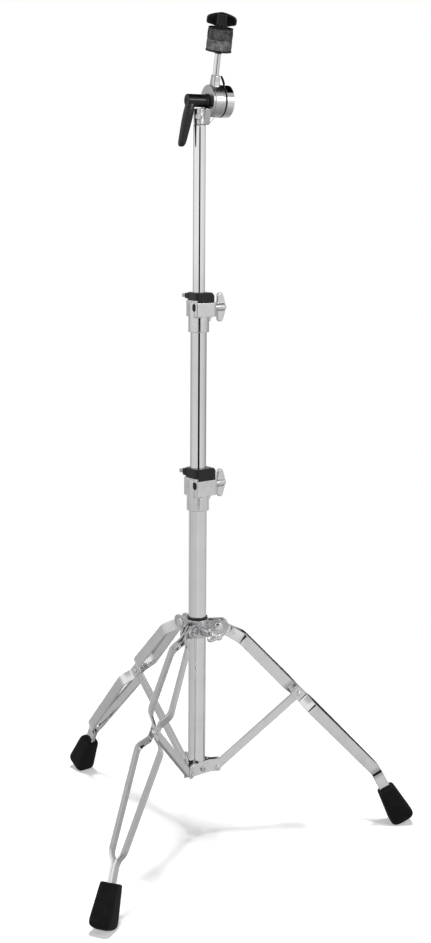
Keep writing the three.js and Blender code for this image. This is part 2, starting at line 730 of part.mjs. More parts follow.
// A screw in the middle of each plate, with its head outside and its end inside the tube's wall
function bracketScrew() {
  const face = BASE_TUBE_RADIUS + SEAT_GAP + PLATE_WALL + SEAT_GAP;
  const profile = [
    [0, BASE_TUBE_RADIUS - TUBE_WALL - TUBE_WALL],
    [PLATE_SCREW_RADIUS, BASE_TUBE_RADIUS - TUBE_WALL - TUBE_WALL],
    [PLATE_SCREW_RADIUS, face],
    [PLATE_SCREW_HEAD_RADIUS, face],
    [PLATE_SCREW_HEAD_RADIUS, face + PLATE_SCREW_HEAD_HEIGHT / 2],
    [PLATE_SCREW_HEAD_RADIUS * HEAD_CROWN_SHARE, face + PLATE_SCREW_HEAD_HEIGHT],
    [PLATE_SCREW_SOCKET_RADIUS, face + PLATE_SCREW_HEAD_HEIGHT],
    [PLATE_SCREW_SOCKET_RADIUS, face + PLATE_SCREW_HEAD_HEIGHT - PLATE_SCREW_SOCKET_DEPTH],
    [0, face + PLATE_SCREW_HEAD_HEIGHT - PLATE_SCREW_SOCKET_DEPTH],
  ];
  return moved(alongX(turned(profile, SMALL_STEPS)), 0, 0, PLATE_SCREW_HEIGHT).rotateZ(LEG_STEP / 2);
}

function baseTube() {
  const top = BASE_TUBE_TOP;
  const wall = ring(BASE_TUBE_RADIUS, BASE_TUBE_RADIUS - TUBE_WALL, BASE_TUBE_BOTTOM, top);
  const holes = Array.from({ length: LEG_COUNT }, (_, i) => {
    const hole = alongX(disc(PLATE_SCREW_RADIUS + PIN_GAP, 0, BASE_TUBE_RADIUS + CUT_OVERRUN));
    return moved(hole, 0, 0, PLATE_SCREW_HEIGHT).rotateZ((i + 1 / 2) * LEG_STEP);
  });
  return cut(wall, ...holes);
}

// The collar that slides on the base tube, with three pairs of ears and a boss for its wing screw
function collar() {
  const low = UPPER_PIVOT_HEIGHT - COLLAR_BELOW_PIVOT;
  const high = low + COLLAR_HEIGHT;
  const bore = BASE_TUBE_RADIUS + SLIDE_GAP + COLLAR_BUSH_WALL + SEAT_GAP;
  const earHeight = UPPER_PIVOT_HEIGHT + EAR_RISE;
  const ears = [];
  for (let i = 0; i < LEG_COUNT; i += 1) {
    for (const side of [-1, 1]) {
      const [from, to] = side > 0 ? [EAR_INNER, EAR_OUTER] : [-EAR_OUTER, -EAR_INNER];
      const earX = PIVOT_RADIUS + EAR_OUT;
      const round = moved(alongY(disc(EAR_RADIUS, from, to, TUBE_STEPS)), earX, 0, earHeight);
      const rootBlock = block(EAR_INNER, earX, from, to, earHeight - EAR_RADIUS, earHeight + EAR_RADIUS);
      ears.push(round.rotateZ(i * LEG_STEP), rootBlock.rotateZ(i * LEG_STEP));
    }
  }
  const middle = low + COLLAR_SCREW_RISE;
  const boss = moved(alongX(disc(COLLAR_BOSS_RADIUS, 0, COLLAR_BOSS_REACH, TUBE_STEPS)), 0, 0, middle);
  boss.rotateZ(-LEG_STEP / 2);
  const whole = join(ring(COLLAR_RADIUS, bore / 2, low, high, TUBE_STEPS), boss, ...ears);
  const holes = [];
  for (let i = 0; i < LEG_COUNT; i += 1) {
    const reach = EAR_OUTER + CUT_OVERRUN;
    const hole = alongY(disc(PIN_RADIUS + PIN_GAP, -reach, reach));
    holes.push(moved(hole, PIVOT_RADIUS, 0, UPPER_PIVOT_HEIGHT).rotateZ(i * LEG_STEP));
  }
  const screwReach = COLLAR_BOSS_REACH + CUT_OVERRUN;
  const screwHole = moved(alongX(disc(WING_SHANK_RADIUS + PIN_GAP, 0, screwReach)), 0, 0, middle);
  return cut(
    whole,
    disc(bore, low - EAR_RADIUS, high + EAR_RADIUS, TUBE_STEPS),
    screwHole.rotateZ(-LEG_STEP / 2),
    ...holes,
  );
}

function collarBushing() {
  const low = UPPER_PIVOT_HEIGHT - COLLAR_BELOW_PIVOT;
  const high = low + COLLAR_HEIGHT + SEAT_GAP;
  const inner = BASE_TUBE_RADIUS + SLIDE_GAP;
  const outer = inner + COLLAR_BUSH_WALL;
  return turned([
    [inner, low],
    [outer, low],
    [outer, high],
    [COLLAR_FLANGE_RADIUS, high],
    [COLLAR_FLANGE_RADIUS, high + COLLAR_FLANGE_HEIGHT],
    [inner, high + COLLAR_FLANGE_HEIGHT],
    [inner, low],
  ]);
}

// A wing screw along +X: shank, neck, hub and two wings above and below the axis
function wingScrew(tip, start, halfSpan) {
  const end = start + WING_LENGTH;
  const hub = turned([
    [0, tip],
    [WING_SHANK_RADIUS, tip],
    [WING_SHANK_RADIUS, start - WING_NECK_LENGTH],
    [WING_NECK_RADIUS, start - WING_NECK_LENGTH],
    [WING_NECK_RADIUS, start],
    [WING_HUB_RADIUS, start],
    [WING_HUB_RADIUS, end - WING_HUB_RADIUS / 2],
    [WING_HUB_RADIUS * HEAD_CROWN_SHARE, end],
    [0, end],
  ], SMALL_STEPS);
  const tipStart = start + (WING_LENGTH - WING_TIP_LENGTH) / 3;
  const tipEnd = tipStart + WING_TIP_LENGTH;
  const half = [
    [start, 0],
    [start, halfSpan / 2],
    [tipStart, halfSpan],
    [tipEnd, halfSpan],
    [end, halfSpan / 3],
  ];
  const otherHalf = half.slice(1).reverse().map(([x, z]) => [x, -z]);
  const blade = outline([...half, ...otherHalf], WING_TIP_LENGTH / 3);
  return join(alongX(hub), uprightPrism(blade, -WING_THICKNESS / 2, WING_THICKNESS / 2));
}

// Plan outlines of a clamp's body with its boss, and of the lock that sits on it
function clampPlan(radius, clamp) {
  const back = -(radius + CLAMP_BACK_MARGIN);
  const side = radius + SLEEVE_WALL;
  return [
    [back, -side],
    [clamp.bodyReach, -side],
    [clamp.bodyReach + BOSS_LENGTH, -BOSS_HALF_WIDTH],
    [clamp.bodyReach + BOSS_LENGTH, BOSS_HALF_WIDTH],
    [clamp.bodyReach, side],
    [back, side],
  ];
}

function lockPlan(radius, clamp) {
  const back = -(radius + CLAMP_BACK_MARGIN);
  const side = radius + SLEEVE_WALL;
  return [
    [back, -side],
    [clamp.bodyReach, -side],
    [clamp.bodyReach, -side * LOCK_END_SHARE],
    [clamp.bodyReach * LOCK_END_SHARE, side * LOCK_BACK_SHARE],
    [back, side * LOCK_BACK_SHARE],
  ];
}

function clampLevels(clamp) {
  const bodyLow = clamp.tubeTop;
  const bodyHigh = bodyLow + clamp.bodyHeight;
  const lockTop = bodyHigh + RIDGE_HEIGHT + clamp.lockHeight;
  return { bodyLow, bodyHigh, screw: (bodyLow + bodyHigh) / 2 + SCREW_RISE, lockTop };
}

// The clamp's casting: sleeve on the outer tube, body with a screw boss, ridge and lug window
function clampCasting(clamp, outerRadius) {
  const { bodyLow, bodyHigh, screw } = clampLevels(clamp);
  const radius = outerRadius + SLEEVE_WALL;
  const back = -(outerRadius + CLAMP_BACK_MARGIN);
  const plan = outline(clampPlan(outerRadius, clamp), CLAMP_CORNER);
  const body = prism(plan, bodyLow, bodyHigh);
  const above = bodyHigh + RIDGE_HEIGHT + CUT_OVERRUN;
  const ridge = asSolid(prism(plan, bodyHigh - CUT_OVERRUN, bodyHigh + RIDGE_HEIGHT)).intersect(
    solidOf(block(back - CUT_OVERRUN, back + RIDGE_WALL, -radius * 2, radius * 2, bodyLow, above)),
  );
  const sleeveLow = clamp.tubeTop - SLEEVE_HEIGHT;
  const sleeve = disc(radius, sleeveLow, bodyHigh, TUBE_STEPS);
  const gusset = [[0, bodyLow], [0, bodyLow - CLAMP_FILLET]];
  for (let k = 0; k <= CORNER_STEPS; k += 1) {
    const angle = (QUARTER * k) / CORNER_STEPS;
    gusset.push([
      radius + CLAMP_FILLET * (1 - Math.cos(angle)),
      bodyLow - CLAMP_FILLET * (1 - Math.sin(angle)),
    ]);
  }
  gusset.push([radius + CLAMP_FILLET, bodyLow + CUT_OVERRUN], [0, bodyLow + CUT_OVERRUN]);
  const fillet = uprightPrism(
    gusset.slice(1).map((point) => new THREE.Vector2(...point)),
    -BOSS_HALF_WIDTH,
    BOSS_HALF_WIDTH,
  );
  const bore = disc(outerRadius + BORE_GAP, sleeveLow - CUT_OVERRUN, above, TUBE_STEPS);
  const screwReach = clamp.bodyReach + BOSS_LENGTH + CUT_OVERRUN;
  const screwHole = moved(alongX(disc(WING_SHANK_RADIUS + PIN_GAP, 0, screwReach)), 0, 0, screw);
  const slot = windowBlock(WINDOW_WIDTH, WINDOW_HEIGHT, 0, radius * 2);
  const window = moved(slot, 0, 0, screw + clamp.windowRise).rotateZ(clamp.windowTurn);
  return cut(join(body, ridge, sleeve, fillet), bore, screwHole, window);
}

// An upright slot with round ends that looks outward along +X
function windowBlock(width, height, from, to) {
  const straight = (height - width) / 2;
  const corners = [
    [-width / 2, -straight - width / 2],
    [width / 2, -straight - width / 2],
    [width / 2, straight + width / 2],
    [-width / 2, straight + width / 2],
  ];
  const shape = prism(outline(corners, width / 2), from, to);
  return shape.rotateX(QUARTER).rotateZ(QUARTER);
}

// The nylon bushing inside a clamp, with the lug that snaps into the casting's window
function clampBushing(clamp, outerRadius, innerRadius) {
  const { bodyLow, bodyHigh, screw } = clampLevels(clamp);
  const low = bodyLow + SEAT_GAP;
  const bore = disc(innerRadius + SLIDE_GAP, low - CUT_OVERRUN, bodyHigh + CUT_OVERRUN, TUBE_STEPS);
  const lug = moved(
    windowBlock(
      WINDOW_WIDTH - 2 * BORE_GAP,
      WINDOW_HEIGHT - 2 * BORE_GAP,
      innerRadius,
      outerRadius + SLEEVE_WALL - LUG_INSET,
    ),
    0,
    0,
    screw + clamp.windowRise,
  ).rotateZ(clamp.windowTurn);
  return cut(join(disc(outerRadius, low, bodyHigh, TUBE_STEPS), lug), bore);
}

function lockBoltPlace(outerRadius, innerRadius) {
  const slit = innerRadius - LOCK_SLIT;
  const x = -(outerRadius + CLAMP_BACK_MARGIN - LOCK_BOLT_INSET);
  return { x, slit };
}

// The memory lock: a split nylon collar on the sliding tube that keys onto the casting's ridge
function memoryLock(clamp, outerRadius, innerRadius) {
  const { bodyHigh, lockTop } = clampLevels(clamp);
  const back = -(outerRadius + CLAMP_BACK_MARGIN);
  const side = LOCK_BACK_SHARE * (outerRadius + SLEEVE_WALL);
  const low = bodyHigh + SEAT_GAP;
  const shoulder = bodyHigh + RIDGE_HEIGHT + SEAT_GAP;
  const { x, slit } = lockBoltPlace(outerRadius, innerRadius);
  const plan = outline(lockPlan(outerRadius, clamp), LOCK_CORNER);
  const ear = [
    [back, side - LOCK_CORNER],
    [back + LOCK_EAR_LENGTH, side - LOCK_CORNER],
    [back + LOCK_EAR_LENGTH, side],
    [back + LOCK_EAR_LENGTH * LOCK_EAR_TOP_SHARE, side + LOCK_EAR_REACH],
    [back, side + LOCK_EAR_REACH],
  ];
  const earMargin = clamp.lockHeight * LOCK_EAR_MARGIN_SHARE;
  const whole = join(
    prism(plan, low, lockTop),
    prism(ear.map((point) => new THREE.Vector2(...point)), shoulder + earMargin, lockTop - earMargin),
  );
  const outside = back - CUT_OVERRUN;
  const below = low - CUT_OVERRUN;
  const key = block(outside, back + RIDGE_WALL + SEAT_GAP, -side * 2, side * 2, below, shoulder);
  const split = block(outside, 0, slit, slit + LOCK_SLIT, below, lockTop + CUT_OVERRUN);
  const middle = (shoulder + lockTop) / 2;
  const boltLow = slit - LOCK_BOLT_BELOW_SLIT - SEAT_GAP;
  const boltHole = alongY(disc(LOCK_BOLT_RADIUS + PIN_GAP / 2, boltLow, side * 2));
  return cut(
    whole,
    disc(innerRadius + BORE_GAP, below, lockTop + CUT_OVERRUN, TUBE_STEPS),
    key,
    split,
    moved(boltHole, x, 0, middle),
  );
}

// The lock's bolt: a drum-key head on a round flange
function lockBolt(clamp, outerRadius, innerRadius) {
  const { bodyHigh, lockTop } = clampLevels(clamp);
  const { x, slit } = lockBoltPlace(outerRadius, innerRadius);
  const face = LOCK_BACK_SHARE * (outerRadius + SLEEVE_WALL) + LOCK_EAR_REACH + SEAT_GAP;
  const head = face + LOCK_BOLT_HEAD_HEIGHT;
  const middle = (bodyHigh + RIDGE_HEIGHT + SEAT_GAP + lockTop) / 2;
  const half = LOCK_BOLT_SQUARE / 2;
  const bolt = join(
    alongY(disc(LOCK_BOLT_RADIUS, slit - LOCK_BOLT_BELOW_SLIT, head)),
    alongY(disc(LOCK_BOLT_HEAD_RADIUS, face, head)),
    block(-half, half, face, head + LOCK_BOLT_SQUARE_LENGTH, -half, half),
  );
  return moved(geometryOf(bolt), x, 0, middle);
}

function clampWing(clamp, outerRadius) {
  const screw = wingScrew(outerRadius + BORE_GAP, clamp.wingStart, WING_HALF_SPAN);
  return moved(geometryOf(screw), 0, 0, clampLevels(clamp).screw);
}

// The tilter, drawn with the drum's axis along +X through the origin
const SOCKET_LOW = SEAT_GAP + PLUG_FLANGE + SEAT_GAP - DRUM_ABOVE_TUBE;
const SOCKET_HIGH = -LEVER_COLLAR_RADIUS - SEAT_GAP * 2;
const POST_HEIGHT = SOCKET_HIGH - SOCKET_TOP_WALL - SOCKET_LOW;

function tubePlug() {
  const flange = UPPER_TUBE_TOP + SEAT_GAP;
  const inner = UPPER_TUBE_RADIUS - TUBE_WALL - BORE_GAP;
  return turned([
    [0, UPPER_TUBE_TOP - PLUG_DEPTH],
    [inner, UPPER_TUBE_TOP - PLUG_DEPTH],
    [inner, flange],
    [UPPER_TUBE_RADIUS, flange],
    [UPPER_TUBE_RADIUS, flange + PLUG_FLANGE],
    [POST_RADIUS, flange + PLUG_FLANGE],
    [POST_RADIUS, flange + PLUG_FLANGE + POST_HEIGHT],
    [0, flange + PLUG_FLANGE + POST_HEIGHT],
  ], TUBE_STEPS);
}

function tilterBase() {
  const plateEnd = PLATE_START + PLATE_THICKNESS;
  const plate = alongX(edgedDisc(DRUM_RADIUS, DRUM_EDGE / 2, PLATE_START, plateEnd, DRUM_STEPS));
  const socket = disc(SOCKET_RADIUS, SOCKET_LOW, SOCKET_HIGH, TUBE_STEPS);
  const webPoints = [
    [-WEB_TOP_HALF, SOCKET_HIGH],
    [-WEB_BOTTOM_HALF, SOCKET_LOW],
    [WEB_BOTTOM_HALF, SOCKET_LOW],
    [WEB_TOP_HALF, SOCKET_HIGH],
  ];
  const web = prism(webPoints.map((point) => new THREE.Vector2(...point)), SOCKET_RADIUS / 3, plateEnd);
  web.rotateX(QUARTER).rotateZ(QUARTER);
  const screwHeight = KEY_SCREW_ABOVE_TUBE - DRUM_ABOVE_TUBE;
  const boss = alongX(disc(KEY_SCREW_HEAD_RADIUS + PIN_GAP, SOCKET_RADIUS / 2, SOCKET_RADIUS + PIN_GAP));
  const screwHole = alongX(disc(KEY_SCREW_RADIUS + PIN_GAP, 0, SOCKET_RADIUS * 2));
  const bore = disc(SOCKET_BORE_RADIUS, SOCKET_LOW - CUT_OVERRUN, SOCKET_LOW + POST_HEIGHT, TUBE_STEPS);
  const boltHole = alongX(disc(TILTER_BOLT_RADIUS + PIN_GAP, 0, plateEnd + CUT_OVERRUN));
  return cut(
    join(plate, socket, web, moved(boss, 0, 0, screwHeight).rotateZ(KEY_SCREW_TURN)),
    bore,
    boltHole,
    moved(screwHole, 0, 0, screwHeight).rotateZ(KEY_SCREW_TURN),
  );
}

function tilterKeyScrew() {
  const face = SOCKET_RADIUS + PIN_GAP + SEAT_GAP;
  const top = face + KEY_SCREW_HEAD_HEIGHT;
  const profile = [
    [0, POST_RADIUS + SEAT_GAP],
    [KEY_SCREW_RADIUS, POST_RADIUS + SEAT_GAP],
    [KEY_SCREW_RADIUS, face],
    [KEY_SCREW_HEAD_RADIUS, face],
    [KEY_SCREW_HEAD_RADIUS, top - KEY_SCREW_HEAD_HEIGHT / 3],
    [KEY_SCREW_HEAD_RADIUS * HEAD_CROWN_SHARE, top],
    [KEY_SCREW_SOCKET_RADIUS, top],
    [KEY_SCREW_SOCKET_RADIUS, face],
    [0, face],
  ];
  const screwHeight = KEY_SCREW_ABOVE_TUBE - DRUM_ABOVE_TUBE;
  return moved(alongX(turned(profile, SMALL_STEPS)), 0, 0, screwHeight).rotateZ(KEY_SCREW_TURN);
}

// The friction washer between the drum's halves, with a curved finger that stands above the drum
function tiltWasher() {
  const rim = DRUM_RADIUS + DRUM_EDGE / 4;
  const end = WASHER_START + WASHER_THICKNESS;
  const plate = alongX(ring(rim, TILTER_BOLT_RADIUS + PIN_GAP, WASHER_START, end, DRUM_STEPS));
  const inner = [];
  const outer = [];
  for (let k = 0; k <= FINGER_STEPS; k += 1) {
    const share = k / FINGER_STEPS;
    const angle = FINGER_START + (FINGER_END - FINGER_START) * share;
    const rise = (FINGER_REACH - DRUM_RADIUS + FINGER_WIDTH / 2) * share;
    const radius = DRUM_RADIUS - FINGER_WIDTH + rise;
    const width = FINGER_WIDTH * (1 - share / 3);
    const spoke = new THREE.Vector2(Math.cos(angle), Math.sin(angle));
    inner.push(spoke.clone().multiplyScalar(radius));
    outer.push(spoke.multiplyScalar(radius + width));
  }
  const finger = prism([...outer, ...inner.reverse()], WASHER_START, end);
  finger.rotateX(QUARTER).rotateZ(QUARTER);
  return join(plate, finger);
}

function tilterCap() {
  const body = alongX(edgedDisc(DRUM_RADIUS, DRUM_EDGE, CAP_START, CAP_END, DRUM_STEPS));
  const floor = CAP_END - CAP_RECESS_DEPTH;
  const recess = alongX(disc(CAP_RECESS_RADIUS, floor, CAP_END + CUT_OVERRUN, TUBE_STEPS));
  const hole = alongX(disc(TILTER_BOLT_RADIUS + PIN_GAP, CAP_START - CUT_OVERRUN, CAP_END));
  return cut(body, recess, hole);
}

function tilterBolt() {
  const head = CAP_END - CAP_RECESS_DEPTH + SEAT_GAP;
  return join(
    alongX(disc(TILTER_BOLT_RADIUS, TILTER_BOLT_END, head + TILTER_BOLT_HEAD_HEIGHT)),
    alongX(disc(TILTER_BOLT_HEAD_RADIUS, head, head + TILTER_BOLT_HEAD_HEIGHT, HEX_SIDES)),
  );
}

// The lever: a hub over the splined insert, and an arm that hangs down and leans outward
function lever() {
  const end = PLATE_START - SEAT_GAP;
  const floor = LEVER_HUB_END + LEVER_END_WALL;
  const hub = join(
    alongX(edgedDisc(LEVER_HUB_RADIUS, DRUM_EDGE, LEVER_HUB_END, end, TUBE_STEPS)),
    alongX(disc(LEVER_COLLAR_RADIUS, end - LEVER_COLLAR_LENGTH, end, TUBE_STEPS)),
  );
  const stationShares = [
    [0.06, 0.92, 0.9],
    [0.2, 1, 1],
    [0.34, 1.06, 0.94],
    [0.6, 1.16, 0.8],
    [0.9, 1.16, 0.68],
    [0.97, 0.95, 0.56],
    [1, 0.5, 0.34],
  ];
  const rings = stationShares.map(([along, thick, wide]) => {
    const lean = LEVER_ARM_LEAN * Math.max(0, along - LEVER_LEAN_START_SHARE);
    const points = [];
    for (let k = 0; k < LEVER_ARM_STEPS; k += 1) {
      const angle = (2 * Math.PI * k) / LEVER_ARM_STEPS;
      const squared = (value) => Math.sign(value) * Math.abs(value) ** LEVER_SQUARE_SHARE;
      points.push(new THREE.Vector3(
        LEVER_ARM_ROOT - lean + thick * LEVER_ARM_HALF_THICKNESS * squared(Math.cos(angle)),
        wide * LEVER_ARM_HALF_WIDTH * squared(Math.sin(angle)),
        -along * LEVER_ARM_LENGTH,
      ));
    }
    return points;
  });
  return cut(
    join(hub, loft(rings, fanTriangles(LEVER_ARM_STEPS))),
    alongX(disc(LEVER_BORE_RADIUS, floor, end + CUT_OVERRUN, TUBE_STEPS)),
    alongX(disc(LEVER_SCREW_RADIUS + PIN_GAP, LEVER_HUB_END, end)),
    alongX(disc(
      LEVER_SCREW_HEAD_RADIUS + PIN_GAP,
      LEVER_HUB_END - CUT_OVERRUN,
      LEVER_HUB_END + LEVER_SCREW_RECESS,
    )),
  );
}

// The steel insert that the lever's splines drive, threaded on the tilter bolt
function leverInsert() {
  const points = [];
  for (let k = 0; k < 2 * INSERT_TEETH; k += 1) {
    const angle = (Math.PI * k) / INSERT_TEETH;
    const radius = INSERT_RADIUS * (k % 2 ? 1 : 1 - INSERT_TOOTH_SHARE);
    points.push(new THREE.Vector2(radius * Math.cos(angle), radius * Math.sin(angle)));
  }
  const end = PLATE_START - SEAT_GAP;
  const floor = INSERT_START + INSERT_WALL;
  return cut(
    alongX(prism(points, INSERT_START, end)),
    alongX(disc(TILTER_BOLT_RADIUS + PIN_GAP / 2, floor, end + CUT_OVERRUN)),
    alongX(disc(LEVER_SCREW_RADIUS + PIN_GAP / 2, INSERT_START - CUT_OVERRUN, floor + CUT_OVERRUN)),
  );
}

function leverScrew() {
  const face = LEVER_HUB_END + LEVER_SCREW_RECESS - SEAT_GAP;
  const slot = LEVER_SCREW_HEAD_HEIGHT / 2;
  const head = face - LEVER_SCREW_HEAD_HEIGHT;
  const body = join(
    alongX(disc(LEVER_SCREW_HEAD_RADIUS, head, face)),
    alongX(disc(LEVER_SCREW_RADIUS, head, INSERT_START + INSERT_WALL - SEAT_GAP)),
  );
  return cut(body, alongX(disc(LEVER_SCREW_RADIUS, head - CUT_OVERRUN, head + slot, HEX_SIDES)));
}

class SpringCurve extends THREE.Curve {
  constructor(from, to) {
    super();
    this.from = from;
    this.to = to;
  }

  getPoint(share, target = new THREE.Vector3()) {
    const angle = share * SPRING_TURNS * 2 * Math.PI;
    return target.set(
      this.from + (this.to - this.from) * share,
      SPRING_COIL_RADIUS * Math.cos(angle),
      SPRING_COIL_RADIUS * Math.sin(angle),
    );
  }
}

function leverSpring() {
  const margin = SPRING_WIRE_RADIUS + SEAT_GAP;
  const curve = new SpringCurve(LEVER_HUB_END + LEVER_END_WALL + margin, INSERT_START - margin);
  const section = [];
  for (let k = 0; k < SPRING_WIRE_SIDES; k += 1) {
    const angle = (2 * Math.PI * k) / SPRING_WIRE_SIDES;
    const spoke = new THREE.Vector2(Math.cos(angle), Math.sin(angle));
    section.push(spoke.multiplyScalar(SPRING_WIRE_RADIUS));
  }
  return new THREE.ExtrudeGeometry(new THREE.Shape(section), {
    steps: SPRING_TURNS * SPRING_STEPS_PER_TURN,
    extrudePath: curve,
    bevelEnabled: false,
  });
}

// The rod holder: the drum's middle part with the neck, drawn with the rod along +Z
function rodHolder() {
  const start = HOLDER_START - ROD_OFFSET;
  const body = alongX(edgedDisc(DRUM_RADIUS, DRUM_EDGE, start, start + HOLDER_THICKNESS, DRUM_STEPS));
  const corners = [
    [-NECK_BOTTOM_HALF, NECK_ROOT],
    [NECK_BOTTOM_HALF, NECK_ROOT],
    [NECK_TOP_HALF, NECK_TOP],
    [-NECK_TOP_HALF, NECK_TOP],
  ];
  const low = Math.max(-NECK_THICKNESS / 2, start);
  const neck = prism(corners.map((point) => new THREE.Vector2(...point)), low, NECK_THICKNESS / 2);
  neck.rotateX(QUARTER).rotateZ(QUARTER);
  const rodHole = disc(ROD_RADIUS + PIN_GAP, ROD_START - SEAT_GAP, NECK_TOP + CUT_OVERRUN, SMALL_STEPS);
  const reach = HOLDER_THICKNESS + CUT_OVERRUN;
  return cut(join(body, neck), rodHole, alongX(disc(TILTER_BOLT_RADIUS + PIN_GAP, -reach, reach)));
}

function cymbalRod() {
  return turned([
    [0, ROD_START],
    [ROD_RADIUS, ROD_START],
    [ROD_RADIUS, ROD_SHOULDER - SEAT_GAP],
    [ROD_THREAD_RADIUS, ROD_SHOULDER - SEAT_GAP],
    [ROD_THREAD_RADIUS, ROD_END],
    [0, ROD_END],
  ], SMALL_STEPS);
}

const SEAT_LOW = ROD_SHOULDER + SEAT_NUB_HEIGHT;
const SEAT_HIGH = SEAT_LOW + SEAT_THICKNESS;
const LOWER_FELT = SEAT_HIGH + FELT_GAP;
const UPPER_FELT = LOWER_FELT + FELT_THICKNESS + FELT_GAP;
const TOP_WASHER = UPPER_FELT + FELT_THICKNESS + FELT_GAP;
const NUT_LOW = TOP_WASHER + TOP_WASHER_THICKNESS + FELT_GAP;
const ROD_END = NUT_LOW + NUT_HEIGHT - NUT_BORE_TOP_WALL - ROD_END_GAP;

function cymbalSleeve() {
  const inner = ROD_THREAD_RADIUS + BORE_GAP;
  return turned([
    [inner, ROD_SHOULDER],
    [SEAT_NUB_RADIUS, ROD_SHOULDER],
    [SEAT_NUB_RADIUS, SEAT_LOW],
    [SEAT_RADIUS, SEAT_LOW],
    [SEAT_RADIUS, SEAT_HIGH],
    [SLEEVE_TUBE_RADIUS, SEAT_HIGH],
    [SLEEVE_TUBE_RADIUS, TOP_WASHER - FELT_GAP],
    [inner, TOP_WASHER - FELT_GAP],
    [inner, ROD_SHOULDER],
  ]);
}

function felt(low) {
  const inner = SLEEVE_TUBE_RADIUS + FELT_GAP;
  return turned([
    [inner, low],
    [FELT_RADIUS - FELT_EDGE, low],
    [FELT_RADIUS, low + FELT_EDGE],
    [FELT_RADIUS, low + FELT_THICKNESS - FELT_EDGE],
    [FELT_RADIUS - FELT_EDGE, low + FELT_THICKNESS],
    [inner, low + FELT_THICKNESS],
    [inner, low],
  ]);
}

// The wing nut: a fluted hub with two rounded wings
function wingNut() {
  const flutes = [];
  for (let k = 0; k < NUT_STEPS_PER_FLUTE * NUT_FLUTES; k += 1) {
    const angle = (2 * Math.PI * k) / (NUT_STEPS_PER_FLUTE * NUT_FLUTES);
    const radius = NUT_HUB_RADIUS * (1 - NUT_FLUTE_SHARE * (1 + Math.cos(NUT_FLUTES * angle)) / 2);
    flutes.push(new THREE.Vector2(radius * Math.cos(angle), radius * Math.sin(angle)));
  }
  const middle = NUT_LOW + NUT_WING_MIDDLE;
  const root = NUT_HALF_SPAN * NUT_ROOT_SHARE;
  const tipLow = middle - NUT_WING_HALF_HEIGHT * NUT_TIP_LOW_SHARE;
  const tipHigh = middle + NUT_WING_HALF_HEIGHT * NUT_TIP_HIGH_SHARE;
  const crown = middle + NUT_WING_HALF_HEIGHT * NUT_TIP_LOW_SHARE;
  const wings = outline([
    [-NUT_HALF_SPAN, tipLow],
    [-root, middle - NUT_WING_HALF_HEIGHT],
    [0, NUT_LOW + NUT_WING_HALF_HEIGHT / 4],
    [root, middle - NUT_WING_HALF_HEIGHT],
    [NUT_HALF_SPAN, tipLow],
    [NUT_HALF_SPAN, tipHigh],
    [root, crown],
    [0, NUT_LOW + NUT_HEIGHT],
    [-root, crown],
    [-NUT_HALF_SPAN, tipHigh],
  ], NUT_WING_HALF_HEIGHT / 2);
  const nut = join(
    prism(flutes, NUT_LOW, NUT_LOW + NUT_HEIGHT),
    uprightPrism(wings, -NUT_WING_THICKNESS / 2, NUT_WING_THICKNESS / 2),
  );
  const boreTop = NUT_LOW + NUT_HEIGHT - NUT_BORE_TOP_WALL;
  const bore = disc(ROD_THREAD_RADIUS + BORE_GAP, NUT_LOW - CUT_OVERRUN, boreTop);
  return geometryOf(cut(nut, bore)).rotateZ(NUT_TURN);
}

// Assembly
function groupAt(height, turn, ...members) {
  const group = new THREE.Group();
  group.position.z = height;
  group.rotation.z = turn;
  group.add(...members);
  return group;
}

function legGroup(number) {
  const name = (word) => `${word}_${number}`;
  return groupAt(
    0,
    (number - 1) * LEG_STEP,
    piece(name('leg_strip_right'), legStrip(-1), CHROME),
    piece(name('leg_strip_left'), legStrip(1), CHROME),
    piece(name('brace'), brace(), CHROME),
    piece(
      name('leg_hinge_rivet'),
      crossPin(EAR_OUTER + SEAT_GAP, HINGE_HEAD_RADIUS, HINGE_HEAD_HEIGHT, PIVOT_RADIUS, UPPER_PIVOT_HEIGHT),
      CAST_CHROME,
    ),
    piece(
      name('leg_mid_rivet'),
      crossPin(STRIP_MID_HALF + SEAT_GAP, PIN_HEAD_RADIUS, PIN_HEAD_HEIGHT, MID_RADIUS, MID_HEIGHT),
      CAST_CHROME,
    ),
    piece(
      name('brace_rivet'),
      crossPin(BRACKET_OUTER + SEAT_GAP, PIN_HEAD_RADIUS, PIN_HEAD_HEIGHT, PIVOT_RADIUS, LOWER_PIVOT_HEIGHT),
      CAST_CHROME,
    ),
    piece(name('foot'), foot(), RUBBER),
    piece(name('bracket_plate'), bracketPlate(), CHROME),
    piece(name('bracket_screw'), bracketScrew(), CAST_CHROME),
  );
}

function collarGroup() {
  const wingHeight = UPPER_PIVOT_HEIGHT - COLLAR_BELOW_PIVOT + COLLAR_SCREW_RISE;
  const shape = wingScrew(
    BASE_TUBE_RADIUS + SLIDE_GAP + COLLAR_BUSH_WALL + SEAT_GAP,
    COLLAR_WING_START,
    COLLAR_WING_HALF_SPAN,
  );
  const wing = piece('collar_wing_screw', geometryOf(shape).rotateX(COLLAR_WING_TURN), CAST_CHROME);
  return [
    piece('collar', collar(), CAST_CHROME),
    piece('collar_bushing', collarBushing(), BLACK_NYLON),
    groupAt(wingHeight, -LEG_STEP / 2, wing),
  ];
}

function clampGroup(prefix, clamp, outerRadius, innerRadius) {
  const name = (word) => `${prefix}_${word}`;
  return groupAt(
    0,
    clamp.turn,
    piece(name('clamp_casting'), clampCasting(clamp, outerRadius), CAST_CHROME),
    piece(name('clamp_bushing'), clampBushing(clamp, outerRadius, innerRadius), BLACK_NYLON),
    piece(name('clamp_wing_screw'), clampWing(clamp, outerRadius), CAST_CHROME),
    piece(name('memory_lock'), memoryLock(clamp, outerRadius, innerRadius), BLACK_NYLON),
    piece(name('lock_bolt'), lockBolt(clamp, outerRadius, innerRadius), CHROME),
  );
}

